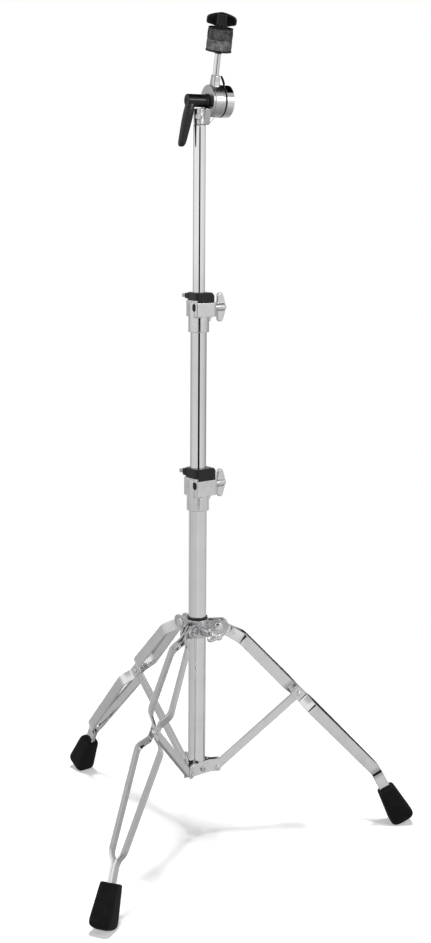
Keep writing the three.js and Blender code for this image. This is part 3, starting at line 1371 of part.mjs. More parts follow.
// A tube with the bare stretch that an accessory clamp can grip marked on its outside
function grippedTube(radius, bottom, gripLow, top) {
  const inner = radius - TUBE_WALL;
  return turned([
    [inner, bottom],
    [radius, bottom],
    [radius, gripLow],
    [radius, top - GRIP_BELOW_END],
    [radius, top],
    [inner, top],
    [inner, bottom],
  ]);
}

function tubes() {
  const middleGrip = BASE_TUBE_TOP + GRIP_ABOVE_JOINT;
  const upperGrip = MIDDLE_TUBE_TOP + GRIP_ABOVE_JOINT;
  const middle = grippedTube(MIDDLE_TUBE_RADIUS, MIDDLE_TUBE_BOTTOM, middleGrip, MIDDLE_TUBE_TOP);
  const upper = grippedTube(UPPER_TUBE_RADIUS, UPPER_TUBE_BOTTOM, upperGrip, UPPER_TUBE_TOP);
  return [
    piece('base_tube', baseTube(), CHROME),
    piece('middle_tube', middle, CHROME),
    piece('upper_tube', upper, CHROME),
    piece('tube_plug', tubePlug(), STEEL),
  ];
}

function rodGroup() {
  const group = new THREE.Group();
  group.position.x = ROD_OFFSET;
  group.rotation.x = TILT;
  group.add(
    piece('rod_holder', rodHolder(), CAST_CHROME),
    piece('cymbal_rod', cymbalRod(), CHROME),
    piece('cymbal_sleeve', cymbalSleeve(), BLACK_NYLON),
    piece('lower_felt', felt(LOWER_FELT), GREY_FELT),
    piece('upper_felt', felt(UPPER_FELT), GREY_FELT),
    piece('top_washer', ring(
      TOP_WASHER_RADIUS,
      ROD_THREAD_RADIUS + BORE_GAP,
      TOP_WASHER,
      TOP_WASHER + TOP_WASHER_THICKNESS,
    ), BLACK_NYLON),
    piece('wing_nut', wingNut(), BLACK_NYLON),
  );
  return group;
}

function tilterGroup() {
  return groupAt(
    DRUM_HEIGHT,
    TILTER_TURN,
    piece('tilter_base', tilterBase(), CAST_CHROME),
    piece('tilter_key_screw', tilterKeyScrew(), STEEL),
    piece('tilt_washer', tiltWasher(), BLACK_NYLON),
    piece('tilter_cap', tilterCap(), CAST_CHROME),
    piece('tilter_bolt', tilterBolt(), STEEL),
    piece('lever', lever(), BLACK_NYLON),
    piece('lever_insert', leverInsert(), STEEL),
    piece('lever_spring', leverSpring(), STEEL),
    piece('lever_screw', leverScrew(), STEEL),
    rodGroup(),
  );
}

const stand = new THREE.Group();
for (let number = 1; number <= LEG_COUNT; number += 1) {
  stand.add(legGroup(number));
}
stand.add(...collarGroup(), ...tubes());
stand.add(clampGroup('lower', LOWER_CLAMP, BASE_TUBE_RADIUS, MIDDLE_TUBE_RADIUS));
stand.add(clampGroup('upper', UPPER_CLAMP, MIDDLE_TUBE_RADIUS, UPPER_TUBE_RADIUS));
stand.add(tilterGroup());

// The footprint's middle becomes the origin
const part = new THREE.Group();
part.add(stand);
part.updateMatrixWorld(true);
const bounds = new THREE.Box3().setFromObject(part, true);
stand.position.x = -(bounds.min.x + bounds.max.x) / 2;
stand.position.y = -(bounds.min.y + bounds.max.y) / 2;

export default part;
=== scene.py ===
"""A straight cymbal stand in chrome, black nylon, rubber and felt, dressed on its CAD frame."""

import json
import logging
import math
from dataclasses import dataclass, field
from enum import Enum
from itertools import pairwise
from typing import Iterable, Sequence

import bmesh
import bpy
from mathutils import Matrix, Vector

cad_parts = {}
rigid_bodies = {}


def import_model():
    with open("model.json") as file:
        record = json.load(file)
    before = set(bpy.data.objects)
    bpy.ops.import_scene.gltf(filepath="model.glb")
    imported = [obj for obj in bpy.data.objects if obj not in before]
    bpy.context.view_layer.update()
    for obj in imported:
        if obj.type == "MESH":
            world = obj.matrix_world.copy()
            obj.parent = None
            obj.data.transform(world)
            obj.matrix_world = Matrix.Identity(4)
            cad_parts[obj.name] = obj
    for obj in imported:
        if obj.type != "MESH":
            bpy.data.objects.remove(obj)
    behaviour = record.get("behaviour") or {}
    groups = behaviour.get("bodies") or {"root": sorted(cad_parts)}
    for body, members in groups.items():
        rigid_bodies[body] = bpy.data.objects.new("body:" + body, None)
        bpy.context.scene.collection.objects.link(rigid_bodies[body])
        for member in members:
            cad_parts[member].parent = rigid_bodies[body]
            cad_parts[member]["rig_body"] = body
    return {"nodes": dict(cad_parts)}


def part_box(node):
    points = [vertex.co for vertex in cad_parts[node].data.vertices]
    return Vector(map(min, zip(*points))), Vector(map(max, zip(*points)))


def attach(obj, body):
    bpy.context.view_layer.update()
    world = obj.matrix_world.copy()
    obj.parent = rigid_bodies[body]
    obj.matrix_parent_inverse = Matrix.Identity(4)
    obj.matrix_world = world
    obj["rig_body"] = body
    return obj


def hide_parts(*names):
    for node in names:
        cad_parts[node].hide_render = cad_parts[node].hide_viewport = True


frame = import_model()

MM = 0.001
LOG = logging.getLogger("stand")
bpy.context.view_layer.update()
TUBE_LOW, TUBE_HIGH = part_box("base_tube")
AXIS = Vector(((TUBE_LOW.x + TUBE_HIGH.x) / 2, (TUBE_LOW.y + TUBE_HIGH.y) / 2, 0.0))

Pair = tuple[float, float]
Ring = list[Vector]
Form = bpy.types.Object
Tree = bpy.types.NodeTree
Socket = bpy.types.NodeSocket


class Slot(Enum):
    """The record's material slots."""

    TUBE = "chrome_tube"
    STRIP = "chrome_strip"
    CAST = "cast_chrome"
    STEEL = "steel"
    NYLON = "black_nylon"
    RUBBER = "rubber"
    FELT = "grey_felt"


class Side(Enum):
    """The two strips of a leg, as seen from the tubes."""

    RIGHT = -1
    LEFT = 1


# Outlines and profiles, in millimetres unless a docstring says metres


def arc(centre: Pair, radius: float, start: float, end: float, steps: int) -> list[Pair]:
    """Gives points along an arc.

    Args:
        centre: the arc's centre.
        radius: its radius.
        start: the first angle, in degrees.
        end: the last angle, in degrees.
        steps: how many straight steps it takes.

    Returns:
        The points, both ends included.
    """
    angles = [math.radians(start + (end - start) * k / steps) for k in range(steps + 1)]
    return [(centre[0] + radius * math.cos(a), centre[1] + radius * math.sin(a)) for a in angles]


def softened(corners: Sequence[Pair], reach: float, steps: int = 3, closed: bool = True) -> list[Pair]:
    """Rounds the corners of an outline or profile.

    Args:
        corners: the corner points in order.
        reach: how far from each corner the rounding starts.
        steps: straight steps in each rounded corner.
        closed: whether the last point joins the first.

    Returns:
        The rounded points.
    """
    points: list[Pair] = []
    count = len(corners)
    for i, corner in enumerate(corners):
        if not closed and i in (0, count - 1):
            points.append(corner)
            continue
        here = Vector(corner)
        before = Vector(corners[i - 1]) - here
        after = Vector(corners[(i + 1) % count]) - here
        cut = min(reach, before.length * 0.45, after.length * 0.45)
        start = here + before.normalized() * cut
        end = here + after.normalized() * cut
        for k in range(steps + 1):
            t = k / steps
            point = start * (1 - t) ** 2 + here * (2 * t * (1 - t)) + end * t**2
            points.append((point.x, point.y))
    return points


def upright(points: Iterable[Pair], lateral: float) -> Ring:
    """Stands a drawing of reach and height in a leg's plane, at a place across it.

    Args:
        points: the drawing's points.
        lateral: the place across the plane.

    Returns:
        The ring, in metres.
    """
    return [Vector((x, lateral, z)) * MM for x, z in points]


def level(points: Iterable[Pair], height: float) -> Ring:
    """Lays a plan drawing at a height.

    Args:
        points: the drawing's points.
        height: the height.

    Returns:
        The ring, in metres.
    """
    return [Vector((x, y, height)) * MM for x, y in points]


def across(points: Iterable[Pair], reach: float) -> Ring:
    """Stands a drawing of sideways place and height square to the X axis.

    Args:
        points: the drawing's points.
        reach: the place along X.

    Returns:
        The ring, in metres.
    """
    return [Vector((reach, y, z)) * MM for y, z in points]


def squircle(half_a: float, half_b: float, share: float, steps: int) -> list[Pair]:
    """Gives a rounded box outline.

    Args:
        half_a: half its first width.
        half_b: half its second width.
        share: how round it is, from 0 for a box to 1 for an ellipse.
        steps: how many points it has.

    Returns:
        The outline's points.
    """
    points = []
    for k in range(steps):
        angle = 2 * math.pi * k / steps
        c, s = math.cos(angle), math.sin(angle)
        points.append((half_a * math.copysign(abs(c) ** share, c),
                       half_b * math.copysign(abs(s) ** share, s)))
    return points


class Bench:
    """The modelling steps that the sub-assemblies share."""

    @staticmethod
    def clear() -> None:
        """Leaves edit mode and deselects everything."""
        if bpy.context.mode != "OBJECT":
            bpy.ops.object.mode_set(mode="OBJECT")
        bpy.ops.object.select_all(action="DESELECT")

    @staticmethod
    def take(*objects: Form) -> None:
        """Selects the objects and makes the first one active.

        Args:
            objects: what to select.
        """
        Bench.clear()
        for each in objects:
            each.select_set(True)
        bpy.context.view_layer.objects.active = objects[0]

    @staticmethod
    def edit(form: Form) -> None:
        """Opens a form in edit mode with all of it selected.

        Args:
            form: the form.
        """
        Bench.take(form)
        bpy.ops.object.mode_set(mode="EDIT")
        bpy.ops.mesh.select_all(action="SELECT")

    @staticmethod
    def turned(profile: Sequence[Pair], steps: int = 72, closed: bool = False) -> Form:
        """Turns a profile of radius and height about the upright axis.

        Args:
            profile: radius and height pairs, in millimetres.
            steps: points round the axis.
            closed: whether the profile is a loop, as for a ring.

        Returns:
            The turned form.
        """
        Bench.clear()
        radius, height = profile[0]
        bpy.ops.mesh.primitive_circle_add(
            vertices=steps, radius=radius * MM, fill_type="NOTHING", location=(0, 0, height * MM)
        )
        form = bpy.context.active_object
        bpy.ops.object.transform_apply(location=True, rotation=True, scale=True)
        Bench.edit(form)
        path = [*profile, profile[0]] if closed else list(profile)
        for (r0, z0), (r1, z1) in pairwise(path):
            rise = {"value": (0, 0, (z1 - z0) * MM)}
            bpy.ops.mesh.extrude_region_move(TRANSFORM_OT_translate=rise)
            if abs(r1 - r0) > 1e-9:
                share = r1 / r0
                bpy.ops.transform.resize(value=(share, share, 1), center_override=(0, 0, z1 * MM))
        bpy.ops.mesh.select_all(action="SELECT")
        if closed:
            bpy.ops.mesh.remove_doubles(threshold=1e-7)
        else:
            bpy.ops.mesh.fill_holes(sides=0)
            bpy.ops.mesh.select_all(action="SELECT")
        bpy.ops.mesh.normals_make_consistent(inside=False)
        Bench.clear()
        return form

    @staticmethod
    def swept(rings: Sequence[Ring]) -> Form:
        """Extrudes a face from ring to ring.

        Args:
            rings: rings of the same number of points, in metres.

        Returns:
            The closed form.
        """
        Bench.clear()
        bpy.ops.mesh.primitive_circle_add(vertices=len(rings[0]), radius=0.1, fill_type="NGON")
        form = bpy.context.active_object
        Bench.edit(form)
        mesh = bmesh.from_edit_mesh(form.data)
        for vertex, point in zip(sorted(mesh.verts, key=lambda v: v.index), rings[0]):
            vertex.co = point
        bmesh.update_edit_mesh(form.data)
        for last, ring in pairwise(rings):
            bpy.ops.mesh.extrude_region_move()
            mesh = bmesh.from_edit_mesh(form.data)
            for vertex in [v for v in mesh.verts if v.select]:
                nearest = min(range(len(last)), key=lambda j: (vertex.co - last[j]).length_squared)
                vertex.co = ring[nearest]
            bmesh.update_edit_mesh(form.data)
        bpy.ops.mesh.select_all(action="SELECT")
        bpy.ops.mesh.normals_make_consistent(inside=False)
        Bench.clear()
        return form

    @staticmethod
    def slab(low: Sequence[float], high: Sequence[float]) -> Form:
        """Makes a box between two corners, for cutting with.

        Args:
            low: its lowest corner, in millimetres.
            high: its highest corner, in millimetres.

        Returns:
            The box.
        """
        corners = [(low[0], low[1]), (high[0], low[1]), (high[0], high[1]), (low[0], high[1])]
        return Bench.swept([level(corners, low[2]), level(corners, high[2])])

    @staticmethod
    def apply(form: Form, kind: str, **settings: object) -> Form:
        """Adds a modifier, sets it and applies it.

        Args:
            form: the form.
            kind: the modifier's type.
            settings: its settings by name.

        Returns:
            The same form.
        """
        Bench.take(form)
        modifier = form.modifiers.new(kind.lower(), kind)
        for key, value in settings.items():
            setattr(modifier, key, value)
        bpy.ops.object.modifier_apply(modifier=modifier.name)
        return form

    @staticmethod
    def bevelled(form: Form, width: float, steps: int = 2, angle: float = 35) -> Form:
        """Rounds a form's sharp edges.

        Args:
            form: the form.
            width: the rounding's width, in millimetres.
            steps: its steps.
            angle: the least angle that counts as sharp, in degrees.

        Returns:
            The same form.
        """
        return Bench.apply(
            form, "BEVEL", width=width * MM, segments=steps, limit_method="ANGLE",
            angle_limit=math.radians(angle)
        )

    @staticmethod
    def cut(form: Form, *tools: Form) -> Form:
        """Cuts tools out of a form and clears them away.

        Args:
            form: the form.
            tools: the closed shapes to cut with.

        Returns:
            The same form.
        """
        for tool in tools:
            Bench.apply(form, "BOOLEAN", object=tool, operation="DIFFERENCE", solver="EXACT")
            bpy.data.objects.remove(tool)
        return form

    @staticmethod
    def joined(*forms: Form) -> Form:
        """Joins forms into one object.

        Args:
            forms: the forms.

        Returns:
            The joined form.
        """
        Bench.take(*forms)
        bpy.ops.object.join()
        return bpy.context.active_object

    @staticmethod
    def cast(voxel: float, rounds: int, *forms: Form) -> Form:
        """Melts overlapping forms into one casting with soft edges.

        Args:
            voxel: the grid that it is melted on, in millimetres.
            rounds: how often it is smoothed.
            forms: the closed forms.

        Returns:
            The casting.
        """
        whole = Bench.joined(*forms)
        Bench.apply(whole, "REMESH", mode="VOXEL", voxel_size=voxel * MM)
        return Bench.apply(whole, "SMOOTH", factor=0.5, iterations=rounds)

    @staticmethod
    def place(form: Form, matrix: Matrix) -> Form:
        """Moves a form and puts its place into its mesh.

        Args:
            form: the form.
            matrix: where it goes, in metres.

        Returns:
            The same form.
        """
        form.matrix_world = matrix
        Bench.take(form)
        bpy.ops.object.transform_apply(location=True, rotation=True, scale=True)
        return form

    @staticmethod
    def refined(node: str, width: float) -> Form:
        """Takes a merged copy of a flat-sided CAD node and rounds its edges.

        Args:
            node: the node's name.
            width: the rounding's width, in millimetres.

        Returns:
            The copy.
        """
        form = bpy.data.objects.new(node + "_copy", frame["nodes"][node].data.copy())
        bpy.context.scene.collection.objects.link(form)
        form.data.materials.clear()
        Bench.edit(form)
        bpy.ops.mesh.remove_doubles(threshold=1e-6)
        bpy.ops.mesh.dissolve_limited(angle_limit=math.radians(1.5))
        Bench.clear()
        return Bench.bevelled(form, width)


def about(letter: str, degrees: float) -> Matrix:
    """Gives a turn about an axis.

    Args:
        letter: the axis.
        degrees: the angle.

    Returns:
        The matrix.
    """
    return Matrix.Rotation(math.radians(degrees), 4, letter)


def shift(x: float, y: float, z: float) -> Matrix:
    """Gives a move.

    Args:
        x: along X, in millimetres.
        y: along Y.
        z: along Z.

    Returns:
        The matrix.
    """
    return Matrix.Translation(Vector((x, y, z)) * MM)


ALONG_X = about("Y", 90)
ALONG_Y = about("X", -90)


# Finishes


class Group:
    """A shader node group with named sockets, built once."""

    @staticmethod
    def begin(name: str, inputs: dict[str, float], outputs: Sequence[str]) -> Tree:
        """Makes an empty group.

        Args:
            name: the group's name.
            inputs: its number inputs and their defaults.
            outputs: its number outputs.

        Returns:
            The node tree.
        """
        tree = bpy.data.node_groups.new(name, "ShaderNodeTree")
        for label, value in inputs.items():
            socket = tree.interface.new_socket(label, in_out="INPUT", socket_type="NodeSocketFloat")
            socket.default_value = value
        for label in outputs:
            tree.interface.new_socket(label, in_out="OUTPUT", socket_type="NodeSocketFloat")
        return tree

    @staticmethod
    def node(tree: Tree, kind: str, **settings: object) -> bpy.types.Node:
        """Adds a node to a tree.

        Args:
            tree: the tree.
            kind: the node's type, without its prefix.
            settings: its settings by name.

        Returns:
            The node.
        """
        made = tree.nodes.new("ShaderNode" + kind if not kind.startswith("NodeGroup") else kind)
        for key, value in settings.items():
            setattr(made, key, value)
        return made

    @staticmethod
    def maths(tree: Tree, operation: str, a: object, b: object) -> Socket:
        """Adds a calculation.

        Args:
            tree: the tree.
            operation: the operation's name.
            a: a number or a socket.
            b: a number or a socket.

        Returns:
            The result's socket.
        """
        made = Group.node(tree, "Math", operation=operation)
        for socket, value in zip(made.inputs, (a, b)):
            if isinstance(value, Socket):
                tree.links.new(value, socket)
            else:
                socket.default_value = value
        return made.outputs[0]

    @classmethod
    def wear(cls) -> Tree:
        """Builds the handling marks: soft smudges, and edges that are rubbed a little.

        Returns:
            The group.
        """
        tree = bpy.data.node_groups.get("handling_wear")
        if tree:
            return tree
        tree = cls.begin("handling_wear", {"Scale": 40.0, "Edges": 0.3}, ["Mask"])
        entry, leave = cls.node(tree, "NodeGroupInput"), cls.node(tree, "NodeGroupOutput")
        place = cls.node(tree, "TexCoord")
        smudge = cls.node(tree, "TexNoise")
        smudge.inputs["Detail"].default_value = 5
        smudge.inputs["Roughness"].default_value = 0.6
        tree.links.new(place.outputs["Object"], smudge.inputs["Vector"])
        tree.links.new(entry.outputs["Scale"], smudge.inputs["Scale"])
        spread = cls.node(tree, "MapRange", interpolation_type="SMOOTHSTEP")
        spread.inputs["From Min"].default_value = 0.38
        spread.inputs["From Max"].default_value = 0.7
        tree.links.new(smudge.outputs["Fac"], spread.inputs["Value"])
        relief = cls.node(tree, "NewGeometry")
        rim = cls.node(tree, "MapRange", interpolation_type="SMOOTHSTEP")
        rim.inputs["From Min"].default_value = 0.52
        rim.inputs["From Max"].default_value = 0.62
        tree.links.new(relief.outputs["Pointiness"], rim.inputs["Value"])
        rubbed = cls.maths(tree, "MULTIPLY", rim.outputs["Result"], entry.outputs["Edges"])
        total = cls.maths(tree, "ADD", cls.maths(tree, "MULTIPLY", spread.outputs["Result"], 0.7), rubbed)
        tree.links.new(cls.maths(tree, "MINIMUM", total, 1.0), leave.inputs["Mask"])
        return tree

    @classmethod
    def grain(cls) -> Tree:
        """Builds a fine surface grain that can be drawn out along the upright axis.

        Returns:
            The group.
        """
        tree = bpy.data.node_groups.get("surface_grain")
        if tree:
            return tree
        tree = cls.begin("surface_grain", {"Scale": 800.0, "Stretch": 1.0, "Detail": 3.0}, ["Height"])
        entry, leave = cls.node(tree, "NodeGroupInput"), cls.node(tree, "NodeGroupOutput")
        place = cls.node(tree, "TexCoord")
        axes = cls.node(tree, "CombineXYZ")
        axes.inputs["X"].default_value = 1
        axes.inputs["Y"].default_value = 1
        tree.links.new(entry.outputs["Stretch"], axes.inputs["Z"])
        drawn = cls.node(tree, "VectorMath", operation="MULTIPLY")
        tree.links.new(place.outputs["Object"], drawn.inputs[0])
        tree.links.new(axes.outputs["Vector"], drawn.inputs[1])
        noise = cls.node(tree, "TexNoise")
        noise.inputs["Roughness"].default_value = 0.55
        tree.links.new(drawn.outputs["Vector"], noise.inputs["Vector"])
        tree.links.new(entry.outputs["Scale"], noise.inputs["Scale"])
        tree.links.new(entry.outputs["Detail"], noise.inputs["Detail"])
        tree.links.new(noise.outputs["Fac"], leave.inputs["Height"])
        return tree

    @classmethod
    def fibres(cls) -> Tree:
        """Builds pressed wool: short tangled fibres over soft clumps.

        Returns:
            The group.
        """
        tree = bpy.data.node_groups.get("pressed_fibres")
        if tree:
            return tree
        tree = cls.begin("pressed_fibres", {"Scale": 900.0, "Clumps": 160.0}, ["Tone", "Height"])
        entry, leave = cls.node(tree, "NodeGroupInput"), cls.node(tree, "NodeGroupOutput")
        place = cls.node(tree, "TexCoord")
        warp = cls.node(tree, "TexNoise")
        warp.inputs["Scale"].default_value = 300
        tree.links.new(place.outputs["Object"], warp.inputs["Vector"])
        bent = cls.node(tree, "VectorMath", operation="MULTIPLY_ADD")
        bent.inputs[1].default_value = (0.004, 0.004, 0.004)
        tree.links.new(warp.outputs["Color"], bent.inputs[0])
        tree.links.new(place.outputs["Object"], bent.inputs[2])
        hairs = cls.node(tree, "TexNoise")
        hairs.inputs["Detail"].default_value = 6
        hairs.inputs["Roughness"].default_value = 0.7
        tree.links.new(bent.outputs["Vector"], hairs.inputs["Vector"])
        tree.links.new(entry.outputs["Scale"], hairs.inputs["Scale"])
        clumps = cls.node(tree, "TexNoise")
        clumps.inputs["Detail"].default_value = 3
        tree.links.new(place.outputs["Object"], clumps.inputs["Vector"])
        tree.links.new(entry.outputs["Clumps"], clumps.inputs["Scale"])
        tone = cls.maths(tree, "ADD", cls.maths(tree, "MULTIPLY", hairs.outputs["Fac"], 0.65),
                         cls.maths(tree, "MULTIPLY", clumps.outputs["Fac"], 0.35))
        spread = cls.node(tree, "MapRange", interpolation_type="SMOOTHSTEP")
        spread.inputs["From Min"].default_value = 0.36
        spread.inputs["From Max"].default_value = 0.66
        tree.links.new(tone, spread.inputs["Value"])
        tree.links.new(spread.outputs["Result"], leave.inputs["Tone"])
        tree.links.new(tone, leave.inputs["Height"])
        return tree


@dataclass(frozen=True)
class Finish:
    """A material made of nodes, with two shades mixed by its marks.

    Attributes:
        name: the material's name.
        slot: the record's slot that it stands for.
        low: the colour where the mask is dark.
        high: the colour where the mask is bright.
        smooth: the roughness where the mask is dark.
        worn: the roughness where the mask is bright.
        metal: how metallic it is.
        scale: the size of the marks, per metre.
        grain: the grain's fineness, per metre.
        stretch: how far the grain is drawn out upright.
        bump: the grain's depth, in millimetres.
        edges: how much the edges are rubbed.
        shine: how strongly a surface that isn't metal mirrors.
    """

    name: str
    slot: Slot
    low: tuple[float, float, float]
    high: tuple[float, float, float]
    smooth: float
    worn: float
    metal: float
    scale: float = 40.0
    grain: float = 900.0
    stretch: float = 1.0
    bump: float = 0.002
    edges: float = 0.3
    shine: float = 0.5

    def masks(self, tree: Tree) -> tuple[Socket, Socket]:
        """Adds the groups that give this finish its marks and grain.

        Args:
            tree: the material's tree.

        Returns:
            The mask's socket and the height's socket.
        """
        wear = Group.node(tree, "Group", node_tree=Group.wear())
        wear.inputs["Scale"].default_value = self.scale
        wear.inputs["Edges"].default_value = self.edges
        grain = Group.node(tree, "Group", node_tree=Group.grain())
        grain.inputs["Scale"].default_value = self.grain
        grain.inputs["Stretch"].default_value = self.stretch
        return wear.outputs["Mask"], grain.outputs["Height"]

    def make(self) -> bpy.types.Material:
        """Builds the material, or gives the one already built.

        Returns:
            The material.
        """
        material = bpy.data.materials.get(self.name)
        if material:
            return material
        material = bpy.data.materials.new(self.name)
        material.use_nodes = True
        tree = material.node_tree
        surface = tree.nodes["Principled BSDF"]
        surface.inputs["Metallic"].default_value = self.metal
        surface.inputs["Specular IOR Level"].default_value = self.shine
        mask, height = self.masks(tree)
        color = Group.node(tree, "Mix", data_type="RGBA")
        color.inputs["A"].default_value = (*self.low, 1)
        color.inputs["B"].default_value = (*self.high, 1)
        rough = Group.node(tree, "MapRange")
        rough.inputs["To Min"].default_value = self.smooth
        rough.inputs["To Max"].default_value = self.worn
        bump = Group.node(tree, "Bump")
        bump.inputs["Strength"].default_value = 1
        bump.inputs["Distance"].default_value = self.bump * MM
        tree.links.new(mask, color.inputs["Factor"])
        tree.links.new(mask, rough.inputs["Value"])
        tree.links.new(height, bump.inputs["Height"])
        tree.links.new(color.outputs["Result"], surface.inputs["Base Color"])
        tree.links.new(rough.outputs["Result"], surface.inputs["Roughness"])
        tree.links.new(bump.outputs["Normal"], surface.inputs["Normal"])
        return material


@dataclass(frozen=True)
class FeltFinish(Finish):
    """Pressed wool felt."""

    def masks(self, tree: Tree) -> tuple[Socket, Socket]:
        """Adds the fibres.

        Args:
            tree: the material's tree.

        Returns:
            The tone's socket and the height's socket.
        """
        wool = Group.node(tree, "Group", node_tree=Group.fibres())
        wool.inputs["Scale"].default_value = self.grain
        wool.inputs["Clumps"].default_value = self.scale
        return wool.outputs["Tone"], wool.outputs["Height"]


PLATED_TUBE = Finish("plated_tube", Slot.TUBE, (0.86, 0.86, 0.87), (0.8, 0.8, 0.81), 0.025, 0.06, 1.0,
                     scale=25, grain=420, stretch=6, bump=0.00002, edges=0.1)
PLATED_STRIP = Finish("plated_strip", Slot.STRIP, (0.84, 0.84, 0.85), (0.76, 0.76, 0.77), 0.07, 0.15, 1.0,
                      scale=60, grain=700, bump=0.001, edges=0.2)
PLATED_CASTING = Finish("plated_casting", Slot.CAST, (0.84, 0.84, 0.85), (0.74, 0.74, 0.75), 0.12, 0.22, 1.0,
                        scale=90, grain=330, bump=0.003, edges=0.25)
TURNED_FACE = Finish("turned_face", Slot.CAST, (0.86, 0.86, 0.87), (0.78, 0.78, 0.79), 0.06, 0.14, 1.0,
                     scale=60, grain=1200, bump=0.001, edges=0.2)
ZINC_STEEL = Finish("zinc_steel", Slot.STEEL, (0.66, 0.66, 0.67), (0.52, 0.52, 0.53), 0.25, 0.4, 1.0,
                    scale=150, grain=1500, bump=0.003, edges=0.4)
SATIN_CASTING = Finish("satin_casting", Slot.CAST, (0.66, 0.66, 0.67), (0.55, 0.55, 0.56), 0.26, 0.4, 1.0,
                       scale=90, grain=330, bump=0.001, edges=0.3)
BLACKENED_STEEL = Finish("blackened_steel", Slot.CAST, (0.04, 0.04, 0.042), (0.09, 0.09, 0.092), 0.3, 0.45,
                         1.0, scale=150, grain=1500, bump=0.003, edges=0.4)
MOULDED_NYLON = Finish("moulded_nylon", Slot.NYLON, (0.003, 0.003, 0.0032), (0.007, 0.007, 0.0073), 0.2, 0.32,
                       0.0, scale=120, grain=1200, bump=0.0015, edges=0.5, shine=0.45)
MATT_RUBBER = Finish("matt_rubber", Slot.RUBBER, (0.0045, 0.0045, 0.0047), (0.011, 0.011, 0.0113), 0.5, 0.7,
                     0.0, scale=70, grain=1000, bump=0.015, edges=0.5, shine=0.1)
GREY_WOOL = FeltFinish("grey_wool", Slot.FELT, (0.06, 0.06, 0.061), (0.34, 0.34, 0.345), 0.9, 1.0, 0.0,
                       scale=150, grain=430, bump=0.3, shine=0.1)
DARK_WOOL = FeltFinish("dark_wool", Slot.FELT, (0.025, 0.025, 0.026), (0.19, 0.19, 0.193), 0.9, 1.0, 0.0,
                       scale=150, grain=430, bump=0.3, shine=0.1)


class SubAssembly:
    """What every sub-assembly shares: handing its pieces over to the stand."""

    def fit(self, form: Form, node: str, finish: Finish,
            melted: bool = False) -> Form:
        """Shades a piece, gives it its finish and puts it in a CAD node's place.

        Args:
            form: the piece.
            node: the node that it stands for.
            finish: its finish.
            melted: whether it is a casting with soft edges, rather than cut, bent or turned.

        Returns:
            The piece.
        """
        form.name = node + "_fine"
        Bench.take(form)
        bpy.ops.object.shade_smooth_by_angle(angle=math.radians(40 if melted else 24))
        if not melted:
            Bench.apply(form, "WEIGHTED_NORMAL", keep_sharp=True, weight=80)
        form.data.materials.clear()
        form.data.materials.append(finish.make())
        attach(form, frame["nodes"][node]["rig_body"])
        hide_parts(node)
        LOG.info("%s: %d faces", form.name, len(form.data.polygons))
        return form

    def dress(self, node: str, finish: Finish) -> None:
        """Gives a CAD node that stays as it is its finish.

        Args:
            node: the node.
            finish: its finish.
        """
        for slot in frame["nodes"][node].material_slots:
            slot.material = finish.make()
        LOG.info("%s keeps its CAD shape", node)

    def build(self) -> None:
        """Makes every piece of the sub-assembly."""
        raise NotImplementedError


@dataclass
class Tubes(SubAssembly):
    """The three telescoping tubes."""

    wall: float = 1.2
    base: tuple[float, float, float] = (14.3, 112.0, 576.0)
    middle: tuple[float, float, float] = (12.7, 340.0, 858.7)
    upper: tuple[float, float, float] = (9.525, 560.0, 1146.0)

    def tube(self, radius: float, low: float, high: float) -> Form:
        """Turns one tube.

        Args:
            radius: its outer radius.
            low: its lower end.
            high: its upper end.

        Returns:
            The tube.
        """
        inner = radius - self.wall
        profile = softened([(inner, low), (radius, low), (radius, high), (inner, high)], 0.35, 2)
        return Bench.place(Bench.turned(profile, 96, closed=True), Matrix.Translation(AXIS))

    def build(self) -> None:
        """Makes the tubes."""
        for node, sizes in (("base_tube", self.base), ("middle_tube", self.middle),
                            ("upper_tube", self.upper)):
            self.fit(self.tube(*sizes), node, PLATED_TUBE)
        self.dress("tube_plug", ZINC_STEEL)


@dataclass
class Station:
    """A place along a leg strip, in the leg's upright plane.

    Attributes:
        x: reach from the tubes' axis.
        z: height.
        slope: the leg's slope there, in radians.
        spread: how far the strip's web is from the plane.
        depth: how deep its flanges are.
        half: half its width.
    """

    x: float
    z: float
    slope: float
    spread: float
    depth: float
    half: float

    def mixed(self, other: "Station", share: float) -> "Station":
        """Gives the station between this one and another.

        Args:
            other: the other station.
            share: how far towards it.

        Returns:
            The station between.
        """
        pairs = zip(vars(self).values(), vars(other).values())
        return Station(*[a + (b - a) * share for a, b in pairs])


@dataclass
class Linkage:
    """The folding tripod's shared sizes."""

    pivot: float = 33.0
    low: float = 117.4
    half_height: float = 120.9
    bar: float = 181.2
    upper_bend: float = 72.0
    lower_bend: float = 302.5
    slope_share: float = 1.05
    end_slope: float = math.radians(62)
    foot_top: float = 62.0
    in_foot: float = 24.0
    web: float = 18.5

    @property
    def mid(self) -> Pair:
        """Where brace and leg meet, as reach and height."""
        return self.pivot + math.sqrt(self.bar**2 - self.half_height**2), self.low + self.half_height

    @property
    def high(self) -> float:
        """The height of the leg's hinge on the collar."""
        return self.low + 2 * self.half_height

    def at(self, number: int) -> Matrix:
        """Gives a leg's place on the stand.

        Args:
            number: the leg, from 1 to 3.

        Returns:
            The matrix.
        """
        return Matrix.Translation(AXIS) @ about("Z", 120 * (number - 1))


